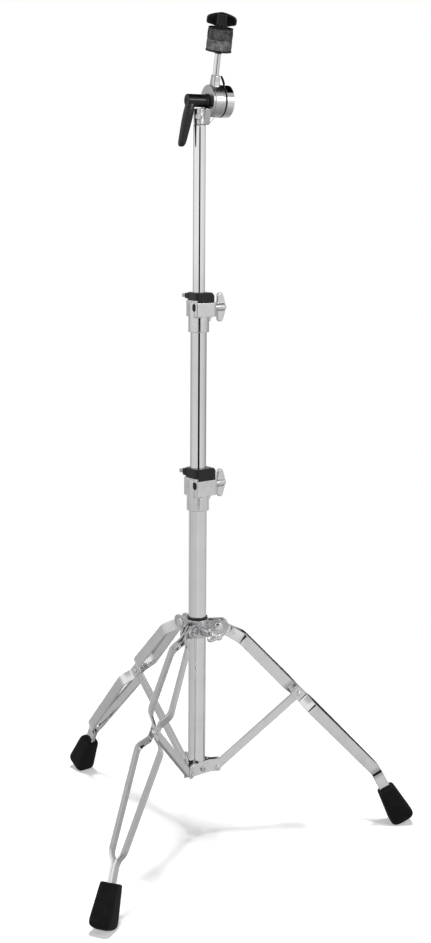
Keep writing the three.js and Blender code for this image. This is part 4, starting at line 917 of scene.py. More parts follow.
@dataclass
class Leg(SubAssembly):
    """One leg with its brace, rivets and foot."""

    number: int
    link: Linkage = field(default_factory=Linkage)
    wall: float = 1.2
    flange: float = 3.9
    hinge_half: float = 5.0
    foot_half: float = 4.05
    mid_half: float = 5.3
    brace_depth: float = 12.8
    brace_width: float = 7.6
    brace_wall: float = 1.4
    brace_groove: float = 2.4
    pin: float = 2.5
    foot_corner: float = 9.5
    foot_shape: tuple[tuple[float, float, float], ...] = (
        (0, 13.4, 13.0), (0.012, 14.4, 13.9), (0.045, 15.1, 14.4), (0.14, 15.9, 14.8), (0.3, 17.0, 15.3),
        (0.55, 18.8, 16.3), (0.74, 20.2, 17.0), (0.82, 20.6, 17.1), (0.88, 20.2, 16.8), (0.925, 18.9, 15.9),
        (0.96, 16.6, 14.2), (0.985, 13.2, 11.6), (1, 9.0, 8.4),
    )

    def station(self, x: float, z: float, slope: float, reach: float, spread: float, share: float = 1.0
                ) -> Station:
        """Gives a station at a distance along the leg from one of its joints.

        Args:
            x: the joint's reach.
            z: the joint's height.
            slope: the leg's slope, in radians.
            reach: how far along the leg it is.
            spread: how far the web is from the leg's plane.
            share: how much of the flanges' depth is left.

        Returns:
            The station.
        """
        depth, half = max(share * self.flange, self.wall + 0.1), self.link.web / 2
        return Station(x + reach * math.cos(slope), z - reach * math.sin(slope), slope, spread, depth, half)

    def stations(self) -> list[Station]:
        """Gives the strip's stations from hinge to foot, with its bends rounded.

        Returns:
            The stations in order.
        """
        link, half = self.link, self.link.web / 2
        mid_x, mid_z = link.mid
        main_slope = math.atan(link.slope_share)
        bend_z = mid_z + link.slope_share * (mid_x - link.upper_bend)
        low_z = mid_z - link.slope_share * (link.lower_bend - mid_x)
        first = math.atan2(link.high - bend_z, link.upper_bend - link.pivot)
        end = (low_z - link.foot_top) / math.sin(link.end_slope) + link.in_foot

        hinge, ankle = (link.pivot, link.high, first), (link.lower_bend, low_z, link.end_slope)
        middle = (mid_x, mid_z, main_slope)
        ramp_up, ramp_down = 4 / 20, 4 / 17
        line = [
            self.station(*hinge, 0, self.hinge_half),
            self.station(*hinge, 22, self.hinge_half),
            self.station(*middle, (link.upper_bend - mid_x) / math.cos(main_slope), 15.0),
            self.station(*middle, -30, 19.5),
            self.station(*middle, -14, self.mid_half + ramp_up * (19.5 - self.mid_half)),
            self.station(*middle, -10, self.mid_half, 0),
            self.station(*middle, 10, self.mid_half, 0),
            self.station(*middle, 14, self.mid_half + ramp_down * (22 - self.mid_half)),
            self.station(*middle, 27, 22.0),
            self.station(*middle, (link.lower_bend - mid_x) / math.cos(main_slope) - 2.5, 12.3),
            self.station(*ankle, 10.5, self.foot_half),
            self.station(*ankle, end, self.foot_half),
        ]
        line[2].slope = (first + main_slope) / 2
        line[9].slope = (main_slope + link.end_slope) / 2
        rounded: list[Station] = []
        for share in (0.97, 0.87, 0.71, 0.5, 0.26):
            tip = self.station(*hinge, -half * share, self.hinge_half)
            tip.half = half * math.sqrt(1 - share**2)
            rounded.append(tip)
        rounded.append(line[0])
        for before, here, after in zip(line, line[1:], line[2:]):
            reach_in = min(0.4, 7 / math.dist((before.x, before.z, before.spread),
                                              (here.x, here.z, here.spread)))
            reach_out = min(0.4, 7 / math.dist((after.x, after.z, after.spread),
                                               (here.x, here.z, here.spread)))
            start, stop = here.mixed(before, reach_in), here.mixed(after, reach_out)
            for k in range(6):
                t = k / 5
                rounded.append(start.mixed(here, t).mixed(here.mixed(stop, t), t))
        rounded.append(line[-1])
        return rounded

    def strip(self, side: Side) -> Form:
        """Makes one channel strip.

        Args:
            side: which strip.

        Returns:
            The strip.
        """
        rings = []
        for s in self.stations():
            inner = max(s.half - self.wall, s.half / 2)
            cove = min(1.3, s.depth * 0.6, s.half * 0.4)
            back, floor = s.spread - s.depth, s.spread - self.wall
            right = [(s.half - cove, s.spread), (s.half - cove * 0.3, s.spread - cove * 0.3),
                     (s.half, s.spread - cove), (s.half, back), (inner, back), (inner, floor)]
            section = [*right, *[(-n, y) for n, y in reversed(right)]]
            nx, nz = math.sin(s.slope), math.cos(s.slope)
            rings.append([Vector((s.x + n * nx, side.value * y, s.z + n * nz)) * MM for n, y in section])
        strip = Bench.swept(rings)
        mid_x, mid_z = self.link.mid
        holes = [self.hole(self.link.pivot, self.link.high), self.hole(mid_x, mid_z)]
        return Bench.cut(strip, *holes)

    def hole(self, x: float, z: float, reach: float = 9.0) -> Form:
        """Makes the tool for a pin hole across the leg.

        Args:
            x: its reach.
            z: its height.
            reach: half its length.

        Returns:
            The tool.
        """
        tool = Bench.turned([(self.pin + 0.3, -reach), (self.pin + 0.3, reach)], 32)
        return Bench.place(tool, shift(x, 0, z) @ ALONG_Y)

    def brace(self) -> Form:
        """Makes the folded brace: a folded bar with round ends and its seam's groove below.

        Returns:
            The brace.
        """
        half, width = self.brace_depth / 2, self.brace_width / 2
        side = [*arc((0, 0), half, 90, 270, 14), *arc((self.link.bar, 0), half, -90, 90, 14)]
        body = Bench.swept([upright(side, -width), upright(side, width)])
        Bench.bevelled(body, 0.9, 3, 50)
        inner = width - self.brace_wall
        groove = Bench.slab((-half - 2, -inner, -half - 2),
                            (self.link.bar + half + 2, inner, self.brace_groove - half))
        Bench.cut(body, groove, self.hole(0, 0), self.hole(self.link.bar, 0))
        mid_x, _ = self.link.mid
        slope = math.atan2(self.link.half_height, mid_x - self.link.pivot)
        return Bench.place(body, shift(self.link.pivot, 0, self.link.low) @ Matrix.Rotation(-slope, 4, "Y"))

    def rivet(self, grip: float, head: float, height: float, x: float, z: float) -> Form:
        """Makes a rivet across the leg with a low round head at each end.

        Args:
            grip: half the length between the heads.
            head: the head's radius.
            height: the head's height.
            x: its reach.
            z: its height on the stand.

        Returns:
            The rivet.
        """
        dome = [(head * math.cos(a), height * (0.25 + 0.75 * math.sin(a)))
                for a in (math.radians(d) for d in (0, 15, 30, 45, 60, 72, 82))]
        top = [(head, grip), *[(r, grip + h) for r, h in dome]]
        profile = [*[(r, -h) for r, h in reversed(top)], (self.pin, -grip), (self.pin, grip), *top]
        return Bench.place(Bench.turned(profile, 40), shift(x, 0, z) @ ALONG_Y)

    def foot(self) -> Form:
        """Makes the rubber foot: a tapered block with soft edges, flat where it stands.

        Returns:
            The foot.
        """
        link = self.link
        _, mid_z = link.mid
        low_z = mid_z - link.slope_share * (link.lower_bend - link.mid[0])
        length = (link.foot_top - 3.5) / math.sin(link.end_slope)
        top_x = link.lower_bend + (low_z - link.foot_top) / math.tan(link.end_slope)
        c, s = math.cos(link.end_slope), math.sin(link.end_slope)
        rings = []
        for along, tall, wide in self.foot_shape:
            reach, lift = along * length, 1.0 + 1.2 * along
            box = [(-tall, -wide), (tall, -wide), (tall, wide), (-tall, wide)]
            rings.append([Vector((top_x + reach * c + (n + lift) * s, y,
                                  link.foot_top - reach * s + (n + lift) * c)) * MM
                          for n, y in softened(box, self.foot_corner, 6)])
        body = Bench.swept(rings)
        reach, room = link.in_foot + 0.3, (self.foot_half + 0.3, link.web / 2 + 0.3)
        pocket = Bench.slab((-3, -room[0], -room[1]), (reach, room[0], room[1]))
        Bench.place(pocket, shift(top_x, 0, link.foot_top) @ Matrix.Rotation(link.end_slope, 4, "Y"))
        floor = Bench.slab((link.lower_bend - 60, -80, -60), (link.lower_bend + 120, 80, 0))
        return Bench.cut(body, pocket, floor)

    def build(self) -> None:
        """Makes the leg's pieces."""
        place, n = self.link.at(self.number), self.number
        mid_x, mid_z = self.link.mid
        for side in Side:
            node = f"leg_strip_{side.name.lower()}_{n}"
            self.fit(Bench.place(self.strip(side), place), node, PLATED_STRIP)
        self.fit(Bench.place(self.brace(), place), f"brace_{n}", PLATED_STRIP)
        self.fit(Bench.place(self.rivet(9.6, 7.5, 2.2, self.link.pivot, self.link.high), place),
                 f"leg_hinge_rivet_{n}", PLATED_CASTING)
        self.fit(Bench.place(self.rivet(5.6, 4.0, 1.6, mid_x, mid_z), place), f"leg_mid_rivet_{n}",
                 PLATED_CASTING)
        self.fit(Bench.place(self.rivet(6.7, 4.0, 1.6, self.link.pivot, self.link.low), place),
                 f"brace_rivet_{n}", PLATED_CASTING)
        self.fit(Bench.place(self.foot(), place), f"foot_{n}", MATT_RUBBER)


@dataclass
class Bracket(SubAssembly):
    """The bottom bracket: three bent plates and the screws in their middles."""

    tube: float = 14.3
    plate: float = 2.3
    height: float = 119.0
    screw: float = 2.5
    head: float = 4.2
    head_height: float = 2.4
    socket: float = 2.0

    def bolt(self) -> Form:
        """Makes a socket-head screw along the X axis.

        Returns:
            The bolt.
        """
        face = self.tube + self.plate + 0.6
        top = face + self.head_height
        shape = [(self.screw, self.tube - 2.4), (self.screw, face), (self.head, face), (self.head, top),
                 (self.socket, top), (self.socket, top - 1.4)]
        profile = [shape[0], shape[1], *softened(shape[1:], 0.7, 3, closed=False)[1:]]
        return Bench.place(Bench.turned(profile, 40), shift(0, 0, self.height) @ ALONG_X)

    def build(self) -> None:
        """Makes the plates and screws."""
        for number in (1, 2, 3):
            self.fit(Bench.refined(f"bracket_plate_{number}", 0.45), f"bracket_plate_{number}", PLATED_STRIP)
            place = Matrix.Translation(AXIS) @ about("Z", 120 * (number - 1) + 60)
            self.fit(Bench.place(self.bolt(), place), f"bracket_screw_{number}", ZINC_STEEL)


@dataclass
class WingScrew:
    """A cast wing screw along the X axis.

    Attributes:
        tip: where its shank ends inside.
        start: where its hub starts.
        span: half its height over the wings.
        shank: its shank's radius.
        hub: its hub's radius.
        length: its hub's length.
        neck: the radius where the hub meets the shank.
    """

    tip: float
    start: float
    span: float
    shank: float = 4.0
    hub: float = 6.6
    length: float = 15.6
    neck: float = 5.2

    def make(self) -> Form:
        """Makes the screw.

        Returns:
            The wing screw.
        """
        start, end = self.start, self.start + self.length
        profile = [(self.shank, start - 4), (self.neck, start - 3), (self.neck, start),
                   (self.hub, start + 0.4),
                   (self.hub, end - 3.6), (self.hub * 0.93, end - 2), (self.hub * 0.8, end - 0.8),
                   (self.hub * 0.6, end - 0.1)]
        hub = Bench.place(Bench.turned(softened(profile, 0.4, 2, closed=False), 56), ALONG_X)
        low, high = start + 1.4, start + 10.3
        half = [(start - 0.3, 0), (start - 0.3, self.span * 0.45), (low - 0.9, self.span * 0.86),
                (low + 1.4, self.span),
                (high - 1.6, self.span), (high + 0.5, self.span * 0.87), (end - 0.8, self.span * 0.35)]
        outline = softened([*half, *[(x, -z) for x, z in reversed(half[1:])]], 3.2, 4)
        blade = Bench.swept([upright(outline, -3.1), upright(outline, 3.1)])
        Bench.bevelled(blade, 1.7, 3, 50)
        head = Bench.cast(0.45, 14, hub, blade)
        shank = Bench.place(Bench.turned([(self.shank, self.tip), (self.shank, start - 2)], 40), ALONG_X)
        return Bench.joined(head, shank)


@dataclass
class Collar(SubAssembly):
    """The sliding collar with its ears, bushing and wing screw."""

    link: Linkage = field(default_factory=Linkage)
    radius: float = 18.0
    height: float = 29.0
    bore: float = 15.75
    ear_inner: float = 5.3
    ear_outer: float = 9.3
    ear_radius: float = 9.8
    ear_reach: float = 40.5
    boss: float = 8.0
    boss_reach: float = 36.0

    @property
    def low(self) -> float:
        """The height of its lower face."""
        return self.link.high - 15.5

    def casting(self) -> Form:
        """Makes the casting.

        Returns:
            The casting.
        """
        low, high = self.low, self.low + self.height
        wall = softened([(self.bore, low), (self.radius, low), (self.radius, high), (self.bore, high)], 0.8,
                        2)
        forms = [Bench.turned(wall, 96, closed=True)]
        middle = self.link.high + 1
        tongue = [(self.bore + 1, middle - self.ear_radius),
                  *arc((self.ear_reach, middle), self.ear_radius, -90, 90, 20),
                  (self.bore + 1, middle + self.ear_radius)]
        for turn in (0, 120, 240):
            for side in (-1, 1):
                ear = Bench.swept([upright(tongue, side * self.ear_inner),
                                   upright(tongue, side * self.ear_outer)])
                Bench.bevelled(ear, 0.8, 2, 50)
                forms.append(Bench.place(ear, about("Z", turn)))
        boss = [(self.boss, self.bore + 1), (self.boss, self.boss_reach - 1),
                (self.boss - 1, self.boss_reach)]
        forms.append(Bench.place(Bench.turned(boss, 48), about("Z", -60) @ shift(0, 0, low + 12) @ ALONG_X))
        whole = Bench.cast(0.55, 3, *forms)
        bore = Bench.turned([(self.bore, low - 5), (self.bore, high + 5)], 96)
        screw = Bench.place(Bench.turned([(4.3, 10), (4.3, 40)], 32),
                            about("Z", -60) @ shift(0, 0, low + 12) @ ALONG_X)
        pins = [Bench.place(Bench.turned([(2.8, -11), (2.8, 11)], 32),
                            about("Z", turn) @ shift(self.link.pivot, 0, self.link.high) @ ALONG_Y)
                for turn in (0, 120, 240)]
        return Bench.cut(whole, bore, screw, *pins)

    def build(self) -> None:
        """Makes the collar's pieces."""
        place = Matrix.Translation(AXIS)
        high = self.low + self.height + 0.3
        ring = softened([(14.55, self.low), (15.45, self.low), (15.45, high), (16.4, high),
                         (16.4, high + 3.5), (14.55, high + 3.5)], 0.35, 2)
        self.fit(Bench.place(self.casting(), place), "collar", SATIN_CASTING, melted=True)
        self.fit(Bench.place(Bench.turned(ring, 96, closed=True), place), "collar_bushing", MOULDED_NYLON)
        screw = Bench.place(WingScrew(15.75, 45.0, 18.0).make(), about("X", -72))
        self.fit(Bench.place(screw, place @ about("Z", -60) @ shift(0, 0, self.low + 12)),
                 "collar_wing_screw", PLATED_CASTING, melted=True)


@dataclass
class Clamp(SubAssembly):
    """A clamp on a tube's end: casting, wing screw, memory lock and its bolt."""

    prefix: str
    outer: float
    inner: float
    bottom: float
    turn: float
    body_height: float
    body_reach: float
    lock_height: float
    wing_start: float
    window_rise: float
    window_turn: float
    sleeve_wall: float = 3.5
    sleeve_height: float = 24.0
    back_margin: float = 1.7
    ridge: float = 4.0

    @property
    def levels(self) -> tuple[float, float, float, float]:
        """The body's bottom and top, the screw's height and the lock's top.

        Returns:
            The four heights.
        """
        low = self.bottom + self.sleeve_height
        high = low + self.body_height
        return low, high, (low + high) / 2 + 2.5, high + self.ridge + self.lock_height

    def casting(self) -> Form:
        """Makes the casting.

        Returns:
            The casting.
        """
        low, high, screw, _ = self.levels
        back, side = -(self.outer + self.back_margin), self.outer + self.sleeve_wall
        reach, radius = self.body_reach + 7.2, self.outer + self.sleeve_wall
        plan = softened([(back, -side), (self.body_reach, -side), (reach, -9.5), (reach, 9.5),
                         (self.body_reach, side), (back, side)], 4.2, 5)
        body = Bench.swept([level(plan, low), level(plan, high)])
        ridge_plan = [p for p in plan if p[0] <= back + 3.01] + [(back + 3, side), (back + 3, -side)]
        ridge_plan.sort(key=lambda p: math.atan2(p[1], p[0] - back - 1.5))
        ridge = Bench.swept([level(ridge_plan, high - 1), level(ridge_plan, high + self.ridge)])
        sleeve = Bench.turned([(radius - 0.5, self.bottom), (radius, self.bottom + 0.6),
                               (radius, high - 0.5)], 96)
        fillet = [(0.0, low - 7), *[(radius + 7 - 7 * math.cos(a), low - 7 + 7 * math.sin(a))
                                    for a in (math.radians(d) for d in range(0, 91, 15))],
                  (radius + 7, low + 1), (0.0, low + 1)]
        gusset = Bench.swept([upright(fillet, -9.3), upright(fillet, 9.3)])
        whole = Bench.cast(0.55, 3, body, ridge, sleeve, gusset)
        bore = Bench.turned([(self.outer + 0.3, self.bottom - 5), (self.outer + 0.3, high + 9)], 96)
        hole = Bench.place(Bench.turned([(4.3, 0), (4.3, reach + 3)], 32), shift(0, 0, screw) @ ALONG_X)
        slot = [*arc((0, 2.5), 3.7, 0, 180, 12), *arc((0, -2.5), 3.7, 180, 360, 12)]
        window = Bench.swept([across(slot, 0), across(slot, radius * 2)])
        Bench.place(window, about("Z", self.window_turn) @ shift(0, 0, screw + self.window_rise))
        return Bench.cut(whole, bore, hole, window)

    def lock(self) -> Form:
        """Makes the split memory lock.

        Returns:
            The lock.
        """
        _, high, _, top = self.levels
        back, side = -(self.outer + self.back_margin), self.outer + self.sleeve_wall
        near, shoulder = side * 0.85, high + self.ridge + 0.3
        plan = softened([(back, -side), (self.body_reach, -side), (self.body_reach, -side * 0.3),
                         (self.body_reach * 0.3, near), (back, near)], 7.5, 7)
        reach = self.body_reach
        slope = [(reach - 6.6, top + 1), (reach + 2, top + 1), (reach + 2, top - 8.2)]
        block = Bench.swept([level(plan, high + 0.3), level(plan, top)])
        Bench.cut(block, Bench.swept([upright(slope, -40), upright(slope, 40)]))
        body = Bench.bevelled(block, 1.6, 4, 40)
        ear_plan = softened([(back, near - 5), (back + 9, near - 5), (back + 9, near),
                             (back + 7.2, near + 4.4), (back, near + 4.4)], 1.0, 3)
        margin = self.lock_height / 8
        ear = Bench.swept([level(ear_plan, shoulder + margin), level(ear_plan, top - margin)])
        Bench.bevelled(ear, 0.7, 2, 50)
        whole = Bench.cast(0.5, 2, body, ear)
        slit = self.inner - 1.4
        key = Bench.slab((back - 4, -40, high - 4), (back + 3.3, 40, shoulder))
        split = Bench.slab((back - 4, slit, high - 4), (0, slit + 1.4, top + 4))
        bore = Bench.turned([(self.inner + 0.3, high - 4), (self.inner + 0.3, top + 4)], 96)
        bolt = Bench.turned([(2.35, slit - 3.8), (2.35, 40)], 24)
        Bench.place(bolt, shift(back + 3.85, 0, (shoulder + top) / 2) @ ALONG_Y)
        return Bench.cut(whole, bore, key, split, bolt)

    def bolt(self) -> Form:
        """Makes the lock's square-headed key bolt.

        Returns:
            The bolt.
        """
        _, high, _, top = self.levels
        back = -(self.outer + self.back_margin)
        face = 0.85 * (self.outer + self.sleeve_wall) + 4.7
        head = face + 1.6
        shank = [(2.2, self.inner - 4.9), (2.2, face), (4, face), (4, head - 0.3), (3.6, head)]
        base = Bench.place(Bench.turned(shank, 40), ALONG_Y)
        square = softened([(-2.8, -2.8), (2.8, -2.8), (2.8, 2.8), (-2.8, 2.8)], 0.5, 2)
        key = Bench.swept([upright(square, head - 0.2), upright(square, head + 8.2)])
        whole = Bench.joined(base, Bench.bevelled(key, 0.5, 2, 50))
        return Bench.place(whole, shift(back + 3.85, 0, (high + self.ridge + 0.3 + top) / 2))

    def build(self) -> None:
        """Makes the clamp's pieces."""
        place = Matrix.Translation(AXIS) @ about("Z", self.turn)
        self.fit(Bench.place(self.casting(), place), f"{self.prefix}_clamp_casting", PLATED_CASTING,
                 melted=True)
        self.fit(Bench.place(self.lock(), place), f"{self.prefix}_memory_lock", MOULDED_NYLON, melted=True)
        self.fit(Bench.place(self.bolt(), place), f"{self.prefix}_lock_bolt", ZINC_STEEL)
        screw = WingScrew(self.outer + 0.3, self.wing_start, 22.5).make()
        self.fit(Bench.place(screw, place @ shift(0, 0, self.levels[2])), f"{self.prefix}_clamp_wing_screw",
                 PLATED_CASTING, melted=True)
        self.dress(f"{self.prefix}_clamp_bushing", MOULDED_NYLON)


@dataclass
class Tilter(SubAssembly):
    """The tilter on the upper tube: base, friction washer, cap, bolt and ratchet lever."""

    turn: float = 18.5
    drum: float = 24.0
    finger: float = 0.8
    height: float = 1183.0
    tube_top: float = 1146.0
    plate: Pair = (12.4, 15.6)
    washer: Pair = (33.4, 34.8)
    cap: Pair = (35.1, 47.3)
    socket: float = 9.1
    lever_end: float = -22.0

    @property
    def place(self) -> Matrix:
        """Where the drum's axis lies along X."""
        return Matrix.Translation(AXIS) @ shift(0, 0, self.height) @ about("Z", self.turn)

    def base(self) -> Form:
        """Makes the base casting: the socket on the tube, a web and the drum's first plate.

        Returns:
            The casting.
        """
        start, end = self.plate
        low, high = self.tube_top + 1.8 - self.height, -11.6
        rim = softened([(2, start), (self.drum, start), (self.drum, end), (2, end)], 0.5, 2, closed=False)
        plate = Bench.place(Bench.turned(rim, 96), ALONG_X)
        socket = Bench.turned(softened([(2, low), (self.socket, low), (self.socket, high), (2, high)], 0.8, 2,
                                       closed=False), 72)
        wedge = Bench.swept([across(softened([(-top, high), (-foot, low), (foot, low), (top, high)], 2, 3),
                                    reach)
                             for reach, top, foot in ((3, 16, 7.5), (13, 15, 7))])
        lean = [(3, -21), (3, low), (12.6, low), (23.5, -23), (23.5, -21)]
        gusset = Bench.bevelled(Bench.swept([upright(lean, -7), upright(lean, 7)]), 1.6, 3, 40)
        screw = self.tube_top + 13.5 - self.height
        boss = Bench.place(Bench.turned([(4.7, 4), (4.7, 9.4)], 40),
                           about("Z", -126) @ shift(0, 0, screw) @ ALONG_X)
        whole = Bench.cast(0.5, 4, plate, socket, wedge, gusset, boss)
        bore = Bench.turned([(5.3, low - 3), (5.3, low + 21)], 48)
        hole = Bench.place(Bench.turned([(4.3, 0), (4.3, end + 3)], 40), ALONG_X)
        key = Bench.place(Bench.turned([(2.7, 0), (2.7, 20)], 32),
                          about("Z", -126) @ shift(0, 0, screw) @ ALONG_X)
        drum = Bench.place(Bench.turned([(24.7, end), (24.7, 40)], 96), ALONG_X)
        return Bench.cut(whole, bore, hole, key, drum)

    def key_screw(self) -> Form:
        """Makes the key screw in the socket's side.

        Returns:
            The screw.
        """
        shape = [(2.4, 5.3), (2.4, 9.7), (4.4, 9.7), (4.4, 11.9), (2.1, 11.9), (2.1, 9.9)]
        profile = [shape[0], *softened(shape[1:], 0.5, 2, closed=False)]
        screw = self.tube_top + 13.5 - self.height
        return Bench.place(Bench.turned(profile, 40), about("Z", -126) @ shift(0, 0, screw) @ ALONG_X)

    def friction_washer(self) -> Form:
        """Makes the black washer with its curved finger above the drum.

        Returns:
            The washer.
        """
        start, end = self.washer
        rim = softened([(4.3, start), (24.2, start), (24.2, end), (4.3, end)], 0.3, 2)
        ring = Bench.place(Bench.turned(rim, 96, closed=True), ALONG_X)
        rings = []
        for k in range(15):
            share = k / 14
            angle = math.radians(132 - 36 * share)
            radius, width = 20 + 15 * share, 4 * (1 - share / 3)
            spoke = Vector((0, math.cos(angle), math.sin(angle)))
            thin = 0.25 if k < 14 else 0.45
            low, high = (start - self.finger, end + self.finger) if k > 4 else (start, end)
            corners = [(low + thin, radius), (low, radius + width / 2), (low + thin, radius + width),
                       (high - thin, radius + width), (high, radius + width / 2), (high - thin, radius)]
            rings.append([(spoke * r + Vector((x, 0, 0))) * MM for x, r in corners])
        return Bench.joined(ring, Bench.swept(rings))

    def turned_cap(self) -> Form:
        """Makes the turned cap with the bolt's recess in its face.

        Returns:
            The cap.
        """
        start, end = self.cap
        face = softened([(4.3, start), (self.drum, start), (self.drum, end), (8.4, end), (8.4, end - 6.2),
                         (4.3, end - 6.2)], 0.9, 3)
        return Bench.place(Bench.turned(face, 128, closed=True), ALONG_X)

    def bolt(self) -> Form:
        """Makes the drum's hex bolt.

        Returns:
            The bolt.
        """
        head = self.cap[1] - 5.9
        shank = Bench.turned([(4, -2.5), (4, head + 1)], 40)
        hexagon = [(6.5 * math.cos(math.radians(a)), 6.5 * math.sin(math.radians(a)))
                   for a in range(0, 360, 60)]
        nut = Bench.bevelled(Bench.swept([level(hexagon, head), level(hexagon, head + 5)]), 0.5, 2, 50)
        return Bench.place(Bench.joined(shank, nut), ALONG_X)

    def lever(self) -> Form:
        """Makes the ratchet lever: a hub, and an arm that hangs and leans outward.

        Returns:
            The lever.
        """
        end = 12.1
        hub = softened([(3, self.lever_end), (9.6, self.lever_end), (9.6, end - 3), (11, end - 2.4),
                        (11, end), (3, end)],
                       1.2, 3, closed=False)
        forms = [Bench.place(Bench.turned(hub, 72), ALONG_X)]
        shares = [(0.04, 1.1, 0.95), (0.12, 1.32, 1), (0.2, 1.42, 1.02), (0.3, 1.5, 1.0), (0.42, 1.52, 0.93),
                  (0.55, 1.46, 0.86), (0.68, 1.38, 0.79), (0.8, 1.3, 0.74), (0.9, 1.22, 0.69),
                  (0.95, 1.08, 0.62), (0.98, 0.85, 0.5), (1, 0.5, 0.34)]
        rings = []
        for along, thick, wide in shares:
            lean = 16 * max(0.0, along - 0.12)
            outline = squircle(4.7 * thick, 8.8 * wide, 0.68, 36)
            rings.append([Vector((-16.6 - lean + x, y, -68 * along)) * MM for x, y in outline])
        forms.append(Bench.swept(rings))
        whole = Bench.cast(0.5, 5, *forms)
        bore = Bench.place(Bench.turned([(6.9, self.lever_end + 4), (6.9, end + 3)], 48), ALONG_X)
        hole = Bench.place(Bench.turned([(2.3, self.lever_end - 3), (2.3, end)], 32), ALONG_X)
        recess = Bench.place(Bench.turned([(4.7, self.lever_end - 3), (4.7, self.lever_end + 2)], 40),
                             ALONG_X)
        return Bench.cut(whole, bore, hole, recess)

    def lever_bolt(self) -> Form:
        """Makes the screw in the lever's end, with its socket.

        Returns:
            The screw.
        """
        face = self.lever_end + 1.7
        head = face - 1.6
        shape = [(1.7, head + 0.9), (1.7, head), (4.4, head), (4.4, face), (2, face), (2, -3.3)]
        profile = [shape[0], *softened(shape[1:4], 0.4, 2, closed=False), *shape[4:]]
        return Bench.place(Bench.turned(profile, 40), ALONG_X)

    def build(self) -> None:
        """Makes the tilter's pieces."""
        for make, node, finish, melted in (
            (self.base, "tilter_base", SATIN_CASTING, True),
            (self.key_screw, "tilter_key_screw", ZINC_STEEL, False),
            (self.friction_washer, "tilt_washer", MOULDED_NYLON, False),
            (self.turned_cap, "tilter_cap", TURNED_FACE, False),
            (self.bolt, "tilter_bolt", ZINC_STEEL, False),
            (self.lever, "lever", MOULDED_NYLON, True),
            (self.lever_bolt, "lever_screw", BLACKENED_STEEL, False),
        ):
            self.fit(Bench.place(make(), self.place), node, finish, melted)
        self.dress("lever_insert", ZINC_STEEL)
        self.dress("lever_spring", ZINC_STEEL)


